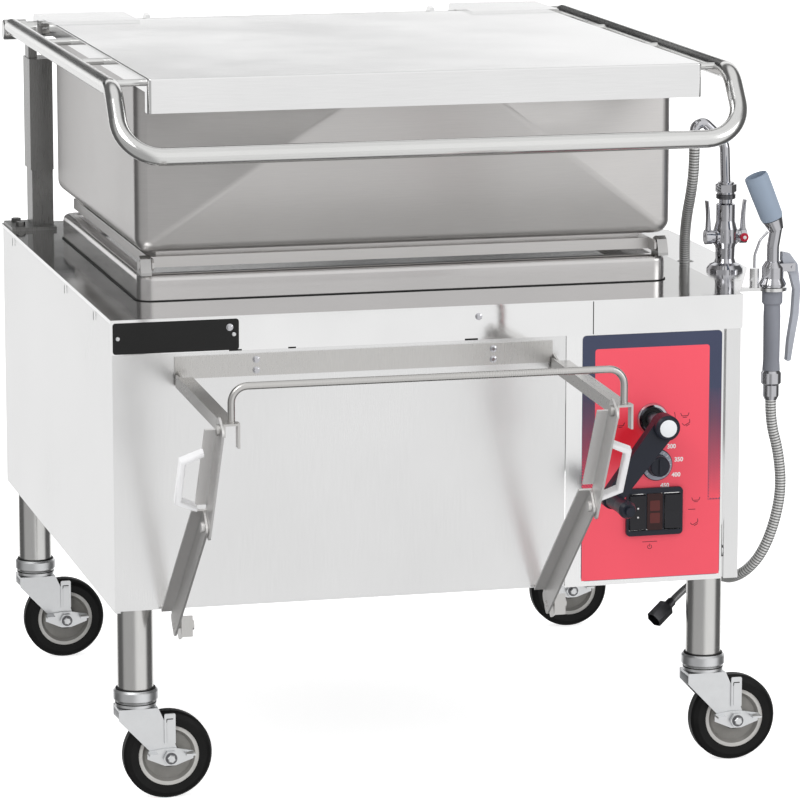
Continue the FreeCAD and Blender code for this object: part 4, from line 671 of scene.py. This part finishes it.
def makeDialNumbers():
    values = dialValues
    work = bmesh.new()
    for k in range(values["count"]):
        turn = math.radians(values["start"] + values["turn"] * k)
        spot = place(values["right"] + values["numbers"] * math.cos(turn), overlayValues["front"] - 0.17,
                     values["height"] + values["numbers"] * math.sin(turn))
        mesh = flatText(str(values["first"] + values["step"] * k), values["letter"])
        mesh.transform(Matrix.Translation(spot) @ Matrix.Rotation(math.pi / 2, 4, "X"))
        work.from_mesh(mesh)
        bpy.data.meshes.remove(mesh)
    mesh = bpy.data.meshes.new("dial_numbers")
    work.to_mesh(mesh)
    work.free()
    keepPiece("dial_numbers", mesh, "cabinet", "whiteInk")


def makeDialRing():
    values = dialValues
    skirt = place(values["right"], overlayValues["front"] - 3.1, values["height"])
    inner, outer = values["ringInside"], values["ringOutside"]
    turned("dial_ring", [(inner, 0), (outer - 1.1, 0), (outer - 1.1, 0.5), (inner, 1.1), (inner, 0)], skirt,
           (0, -1, 0), "thermostat_knob", "dialGrey", 64)
    spots = [math.radians(turn) for turn in range(-60, 240, 20)]
    marks = [bar(values["right"] + 17.6 * math.cos(turn), values["height"] + 17.6 * math.sin(turn), 3.2,
                 math.degrees(turn), 0.5) for turn in spots]
    frontPlates("dial_ticks", marks, overlayValues["front"] - 4.05, 0.1, "thermostat_knob", "whiteInk")


def panMark(x, z, tilt):
    # A small pan in side view, level or tipped, drawn with four thin strokes.
    turn = math.radians(tilt)
    along = Vector((math.cos(turn), math.sin(turn)))
    up = Vector((-along.y, along.x))
    foot = Vector((x, z))
    strokes = [(foot, 9, tilt), (foot, 4.6, tilt + 112), (foot + along * 9, 4.6, tilt + 68),
               (foot - up * 2.2 + along * 1.5, 6, tilt)]
    return [bar(*start, length, angle, 0.9) for start, length, angle in strokes]


def arrowHead(x, z, angle, length):
    turn = math.radians(angle)
    along = Vector((math.cos(turn), math.sin(turn))) * length
    side = Vector((-along.y, along.x)) * 0.42
    tip = Vector((x, z)) + along
    return [tuple(tip), tuple(Vector((x, z)) + side), tuple(Vector((x, z)) - side)]


def makeOverlayMarks():
    crank = (324, 520)
    strokes = [band(crank, 34, 152, 196, 0.8), arrowHead(crank[0] - 32.7, crank[1] - 8.6, 282, 4.6),
               band(crank, 34, -18, 14, 0.8)]
    strokes += panMark(368, 522, 0) + panMark(372, 508, 28) + panMark(272, 512, 0)
    for z, tilt in ((398, 0), (362, 28)):
        strokes += panMark(386, z, tilt)
    strokes += [bar(379, 385, 11, 0, 0.8), bar(311, 341, 22, 0, 0.8)]
    strokes += [band((322, 333.5), 3, 120, 420, 0.8), bar(322, 333.5, 4.4, 90, 0.8)]
    frontPlates("overlay_marks", strokes, overlayValues["front"] - 0.12, 0.08, "cabinet", "marking")


def makeCrankDisc():
    turned("crank_hub_disc", [(0, 0), (12.4, 0), (12.4, 0.5), (11.8, 0.9), (0, 0.9)], place(324, -544.5, 520),
           (0, -1, 0), "crank", "paleDisc")


switchValues = {"front": -477.2, "left": 290, "step": 26, "bottom": 359, "width": 23}


def makeBezelShade():
    # A black ring of painted shade in the hole of the crank's bezel, round its shaft.
    turned("bezel_shade", [(10.5, 0), (15.9, 0), (15.9, 0.5), (10.5, 0.5), (10.5, 0)], place(324, -469.5, 520),
           (0, -1, 0), "cabinet", "blackAndShade")


def makeSwitchFaces():
    # Two small dots on the power rocker and two windows in the heat lens.
    values = switchValues
    lensLeft = values["left"] + values["step"]
    powerMiddle = values["left"] + values["width"] / 2
    dots = [arcPoints((powerMiddle, values["bottom"] + rise), 1.3, 0, 337.5, 15) for rise in (20, 33)]
    frontPlates("rocker_dots", dots, values["front"] + 0.3, 0.6, "power_rocker", "whiteInk")
    windows = [roundedOutline(lensLeft + 4, values["bottom"] + rise, values["width"] - 8, 15, 2)
               for rise in (10, 28)]
    frontPlates("heat_lens_windows", windows, -474.2, 0.4, "cabinet", "lensWindow")


makeOverlay()
makeDialNumbers()
makeDialRing()
makeOverlayMarks()
makeCrankDisc()
makeBezelShade()
makeSwitchFaces()
print("control panel dressed")


# Receiving-pan support

gripValues = {"skin": 2.2}


def makeGripSkins():
    # The moulded skin of the white grips, a little thicker than the bars in them.
    work = bmesh.new()
    work.from_mesh(nodes["brace_grips"].data)
    work.transform(nodes["brace_grips"].matrix_world)
    bmesh.ops.remove_doubles(work, verts=work.verts, dist=0.00001)
    work.normal_update()
    for vertex in work.verts:
        vertex.co += vertex.normal * gripValues["skin"] / 1000
    mesh = meshFrom("brace_grip_skins", work)
    mesh.materials.clear()
    skins = keepPiece("brace_grip_skins", mesh, "upper_brace", "white")
    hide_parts("brace_grips")


makeGripSkins()
print("support dressed")


# Apron and faucet

apronValues = {"front": -469.5, "plateLeft": -454.4, "plateBottom": 646.8, "plateWidth": 177.4, "plateHeight": 43.6}


def makeApron():
    # A bare data plate with two rivets, the dark seam of the folded sheet, and its notches as black strips of
    # painted shade.
    values = apronValues
    plate = roundedOutline(values["plateLeft"], values["plateBottom"], values["plateWidth"],
                           values["plateHeight"], 4)
    frontPlates("data_plate", [plate], values["front"], 0.8, "cabinet", "blackAndShade")
    middleHeight = values["plateBottom"] + values["plateHeight"] / 2
    for name, spot in (("left", values["plateLeft"] + 7), ("right", values["plateLeft"] + values["plateWidth"] - 7)):
        turned("data_plate_rivet_" + name, [(0, 0), (3.2, 0), (2.6, 0.9), (0, 1.3)],
               place(spot, values["front"] - 0.7, middleHeight), (0, -1, 0), "cabinet", "zinc", 24)
    # The notches are painted shade; the upright bar at 235 is the seam.
    notches = [bar(-291, 646.2, 18, 0, 2.2), bar(-207, 646.2, 11, 0, 2.2), bar(47, 646.6, 19, 0, 2.6),
               bar(235, 646, 47, 90, 1.3)]
    frontPlates("apron_notches", notches, values["front"], 0.15, "cabinet", "blackAndShade")


def block(name, boxes, body, finish):
    # One piece of several boxes, each from its lowest and highest corner.
    work = bmesh.new()
    for low, high in boxes:
        first, last = place(*low), place(*high)
        size = last - first
        turn = Matrix.Translation((first + last) / 2) @ Matrix.Diagonal((*size, 1))
        bmesh.ops.create_cube(work, size=1, matrix=turn)
    return keepPiece(name, meshFrom(name, work), body, finish)


def makeSideNotches():
    # Three short slots under the deck's edge on the left panel, as thin black boxes of painted shade.
    boxes = [((-457.4, y - 1.1, 674), (-457.1, y + 1.1, 686)) for y in (362, -103, -338)]
    block("side_notches", boxes, "cabinet", "blackAndShade")


seamValues = {"deck": 694.6, "height": 1.2, "width": 2.4, "corner": 24}


def makeCollarSeam():
    # The dark joint where the collar stands on the deck.
    values = seamValues
    low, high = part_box("pan_collar")
    left, front = low[0] * 1000 + originRight, low[1] * 1000 + originBack
    across, deep = (high[0] - low[0]) * 1000, (high[1] - low[1]) * 1000
    rings = []
    wide, high = values["width"], values["height"]
    for margin, level in ((0.1, 0), (wide, 0), (wide, high), (0.1, high)):
        outline = roundedOutline(left - margin, front - margin, across + 2 * margin, deep + 2 * margin,
                                 values["corner"] + margin)
        rings.append([place(x, y, values["deck"] + 0.02 + level) for x, y in outline])
    work = bmesh.new()
    loops = [[work.verts.new(spot) for spot in ring] for ring in rings]
    for lower, upper in zip(loops, loops[1:] + loops[:1]):
        for k in range(len(lower)):
            after = (k + 1) % len(lower)
            work.faces.new([lower[k], lower[after], upper[after], upper[k]])
    keepPiece("collar_seam", meshFrom("collar_seam", work), "cabinet", "blackAndShade")


riserValues = {"right": 500, "forward": -257, "foot": 800.6, "inside": 13.05, "ring": 14.4, "ringHeight": 7.5,
               "nut": 15.6, "nutFoot": 9.5, "nutHeight": 13}


def makeRiserNuts():
    # The dark ring at the riser's foot, and over it the swivel nut with its flats.
    values = riserValues
    foot, up = place(values["right"], values["forward"], values["foot"]), (0, 0, 1)
    inside, ring, top = values["inside"], values["ring"], values["ringHeight"]
    turned("riser_ring", [(inside, 0.2), (ring, 1), (ring, top - 0.8), (inside, top), (inside, 0.2)], foot, up,
           "cabinet", "darkSteel", 24)
    nut, low = values["nut"], values["nutFoot"]
    high = low + values["nutHeight"]
    turned("riser_nut", [(inside, low), (nut, low + 1), (nut, high - 1), (inside, high), (inside, low)], foot, up,
           "cabinet", "chrome", 6)


sprayValues = {"right": 542, "forward": -350, "base": 781.5, "lean": (-0.38, 0, 0.925), "length": 71}


def makeBumper():
    # The rubber sleeve of the spray head, nearly straight, with a soft open mouth.
    values = sprayValues
    long = values["length"]
    profile = [(0, 0), (12, 0), (15.6, 1.2), (16.8, 6), (17.5, long * 0.6), (17.6, long - 4), (16.8, long - 0.8),
               (15.4, long), (14.6, long - 3), (13.8, long - 22), (0, long - 23)]
    sleeve = turned("bumper_sleeve", profile, place(values["right"] - 1.2, values["forward"], values["base"]),
                    values["lean"], "cabinet", "bumper", 40)
    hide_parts("spray_head")


def makeHotIndex():
    centre = place(525.5, -267.4, 744)
    turned("hot_index", [(0, 0), (6.4, 0), (6.4, 2.4), (5.2, 3.6), (0, 4.2)], centre, (0, -1, 0), "hot_lever",
           "signalRed", 32)
    turned("hot_index_pearl", [(0, 0), (2.8, 0), (2.2, 0.7), (0, 1)], centre + Vector((0, -0.0038, 0)), (0, -1, 0),
           "hot_lever", "whiteInk", 24)


makeApron()
makeSideNotches()
makeCollarSeam()
makeRiserNuts()
makeBumper()
makeHotIndex()
print("apron and faucet dressed")


# Casters

casterValues = {"top": 146.5, "trail": 44, "legRadius": 25.4, "socketRadius": 30.5, "headRadius": 29, "nut": 32.5,
                "plateFront": 22.5, "axle": 63.5}


def makeCasterTrim(corner):
    # Zinc cover and dark gap at the foot of the leg, then bolt, channel plate and slots on the fork; the gap, a slit
    # round the fork's head and the slots are black rings and strips of painted shade.
    values = casterValues
    centre = middle("wheel_" + corner)
    x, y = centre.x * 1000 + originRight, centre.y * 1000 + originBack
    stem = place(x - values["trail"], y, values["top"])
    fork, up, ahead = "fork_" + corner, (0, 0, 1), (0, -1, 0)
    leg, socket, head = values["legRadius"], values["socketRadius"], values["headRadius"]
    cover = [(socket + 0.05, 0.4), (socket + 0.9, 0.4), (socket + 0.9, 12), (leg + 3.4, 14.8), (leg + 2.8, 14.8),
             (leg + 2.8, 14.1), (socket + 0.05, 11.4), (socket + 0.05, 0.4)]
    turned("socket_cover_" + corner, cover, stem, up, "cabinet", "zinc")
    # A black ring of painted shade for the gap at the leg's foot.
    gap = [(leg + 0.05, 14.05), (leg + 2.7, 14.05), (leg + 2.7, 16.2), (leg + 0.05, 16.2), (leg + 0.05, 14.05)]
    turned("leg_gap_" + corner, gap, stem, up, "cabinet", "blackAndShade")
    # A black ring of painted shade for the slit round the fork's head.
    slit = [(head + 0.02, -5.4), (head + 0.3, -5.4), (head + 0.3, -3.8), (head + 0.02, -3.8), (head + 0.02, -5.4)]
    turned("head_slit_" + corner, slit, stem, up, fork, "blackAndShade")
    bolt = place(x, y - values["nut"], values["axle"])
    turned("axle_washer_" + corner, [(0, 0), (8.4, 0), (8.4, 1), (0, 1)], bolt, ahead, fork, "darkSteel", 32)
    turned("axle_bolt_" + corner, [(0, 1.02), (6.3, 1.02), (6.3, 4), (5, 5.2), (0, 5.6)], bolt, ahead, fork, "zinc",
           6)
    front = y - values["plateFront"]
    frontPlates("fork_channel_" + corner, [roundedOutline(x - 8, values["axle"] + 19, 16, 44, 2)], front, 2.6, fork,
                "zinc")
    frontPlates("fork_channel_rib_" + corner, [roundedOutline(x - 4.5, values["axle"] + 21, 9, 32, 1)],
                front - 2.62, 1, fork, "zinc")
    # Black strips of painted shade for the channel's slots.
    slots = [bar(x - 4.5, values["axle"] + 55.5, 9, 0, 1.4), bar(x - 4.5, values["axle"] + 50.5, 5, 90, 1.2)]
    frontPlates("fork_channel_slots_" + corner, slots, front - 2.62, 0.2, fork, "blackAndShade")


for corner in corners:
    makeCasterTrim(corner)
print("casters trimmed")


# Stage and light

stageValues = {"floorSize": 30, "glow": 0.75, "plain": 0.86, "floorInMetal": 0.9, "key": 42, "fill": 20,
               "bright": 0.95, "middle": 0.48, "dark": 0.13, "behind": 1.05, "above": 0.85,
               "cardLeft": 0.04, "cardRight": 1.0}
towardsCamera = (-0.235, -0.972, 0)
acrossCamera = (0.969, -0.246, 0)


def smoothRise(graph, value, low, high):
    # 0 at the low end and 1 at the high end, which may also be the smaller number.
    flip = low > high
    node = graph.add("ShaderNodeMapRange", {"Value": value, "From Min": min(low, high), "From Max": max(low, high),
                                            "To Min": 1.0 if flip else 0.0, "To Max": 0.0 if flip else 1.0},
                     interpolation_type="SMOOTHSTEP")
    return node.outputs["Result"]


def mixed(graph, factor, low, high):
    return graph.add("Mix", {0: factor, 2: low, 3: high}).outputs[0]


def studioShade(graph, direction):
    # What metal mirrors: a bright wall ahead and to the right, a grey one to the left, dark sides, and a bright
    # back with a raised card that shades off to the left.
    values = stageValues
    forward = graph.add("VectorMath", {0: direction, 1: towardsCamera}, operation="DOT_PRODUCT").outputs["Value"]
    across = graph.add("VectorMath", {0: direction, 1: acrossCamera}, operation="DOT_PRODUCT").outputs["Value"]
    height = graph.add("SeparateXYZ", {"Vector": direction}).outputs["Z"]
    wall = mixed(graph, smoothRise(graph, across, -0.12, 0.3), values["middle"], values["bright"])
    wall = mixed(graph, smoothRise(graph, forward, 0.0, 0.35), values["dark"], wall)
    card = mixed(graph, smoothRise(graph, across, -0.03, 0.1), values["cardLeft"], values["cardRight"])
    raised = graph.math("MULTIPLY", smoothRise(graph, height, 0.13, 0.15), smoothRise(graph, height, 0.42, 0.34))
    back = mixed(graph, raised, values["behind"], card)
    walls = mixed(graph, smoothRise(graph, forward, -0.66, -0.8), wall, back)
    return mixed(graph, smoothRise(graph, height, 0.72, 0.92), walls, values["above"])


def makeStage():
    mesh = bpy.data.meshes.new("floor")
    half = stageValues["floorSize"]
    mesh.from_pydata([(-half, -half, 0), (half, -half, 0), (half, half, 0), (-half, half, 0)], [], [(0, 1, 2, 3)])
    floor = bpy.data.objects.new("floor", mesh)
    bpy.context.scene.collection.objects.link(floor)
    material, graph = newMaterial("floorPaper")
    rays = graph.add("LightPath").outputs
    direct = graph.math("MAXIMUM", rays["Is Camera Ray"], rays["Is Transmission Ray"])
    away = graph.add("VectorMath", {0: graph.add("NewGeometry").outputs["Incoming"], "Scale": -1.0},
                     operation="SCALE").outputs["Vector"]
    mirrored = graph.math("MULTIPLY", studioShade(graph, away), stageValues["floorInMetal"])
    glow = mixed(graph, rays["Is Glossy Ray"], graph.math("MULTIPLY", direct, stageValues["glow"]), mirrored)
    fibre = graph.noise(graph.coordinates(), 40, 2)
    paper = graph.blendColours(graph.spread(fibre, 0, 1), (0.86, 0.86, 0.86), (0.88, 0.88, 0.88))
    graph.surface({"Base Color": graph.blendColours(rays["Is Glossy Ray"], paper, (0, 0, 0)), "Roughness": 0.9,
                   "Specular IOR Level": 0.0, "Emission Color": (1, 1, 1, 1), "Emission Strength": glow})
    mesh.materials.append(material)


def makeWorld():
    # White to the eye, plain for soft light, and in shades for what the metal mirrors.
    world = bpy.data.worlds.new("studio")
    world.use_nodes = True
    bpy.context.scene.world = world
    world.node_tree.nodes.clear()
    graph = Graph(world.node_tree)
    rays = graph.add("LightPath").outputs
    shade = studioShade(graph, graph.add("TexCoord").outputs["Generated"])
    level = mixed(graph, rays["Is Glossy Ray"], stageValues["plain"], shade)
    level = mixed(graph, graph.math("MAXIMUM", rays["Is Camera Ray"], rays["Is Transmission Ray"]), level, 1.0)
    light = graph.add("Background", {"Color": (1, 1, 1, 1), "Strength": level})
    graph.add("OutputWorld", {"Surface": light.outputs[0]})


def areaLight(name, spot, target, size, power):
    light = bpy.data.lights.new(name, "AREA")
    light.shape = "RECTANGLE"
    light.size, light.size_y = size
    light.energy = power
    lamp = bpy.data.objects.new(name, light)
    lamp.location = spot
    lamp.rotation_euler = (Vector(target) - Vector(spot)).to_track_quat("-Z", "Y").to_euler()
    bpy.context.scene.collection.objects.link(lamp)


makeStage()
makeWorld()
areaLight("key", (-2.2, -2.2, 3.4), (0, 0, 0.5), (2.0, 2.0), stageValues["key"])
areaLight("fill", (3.2, -3.0, 2.0), (0, 0, 0.6), (2.0, 2.4), stageValues["fill"])
bpy.context.scene.view_settings.view_transform = "Standard"
print("stage set")
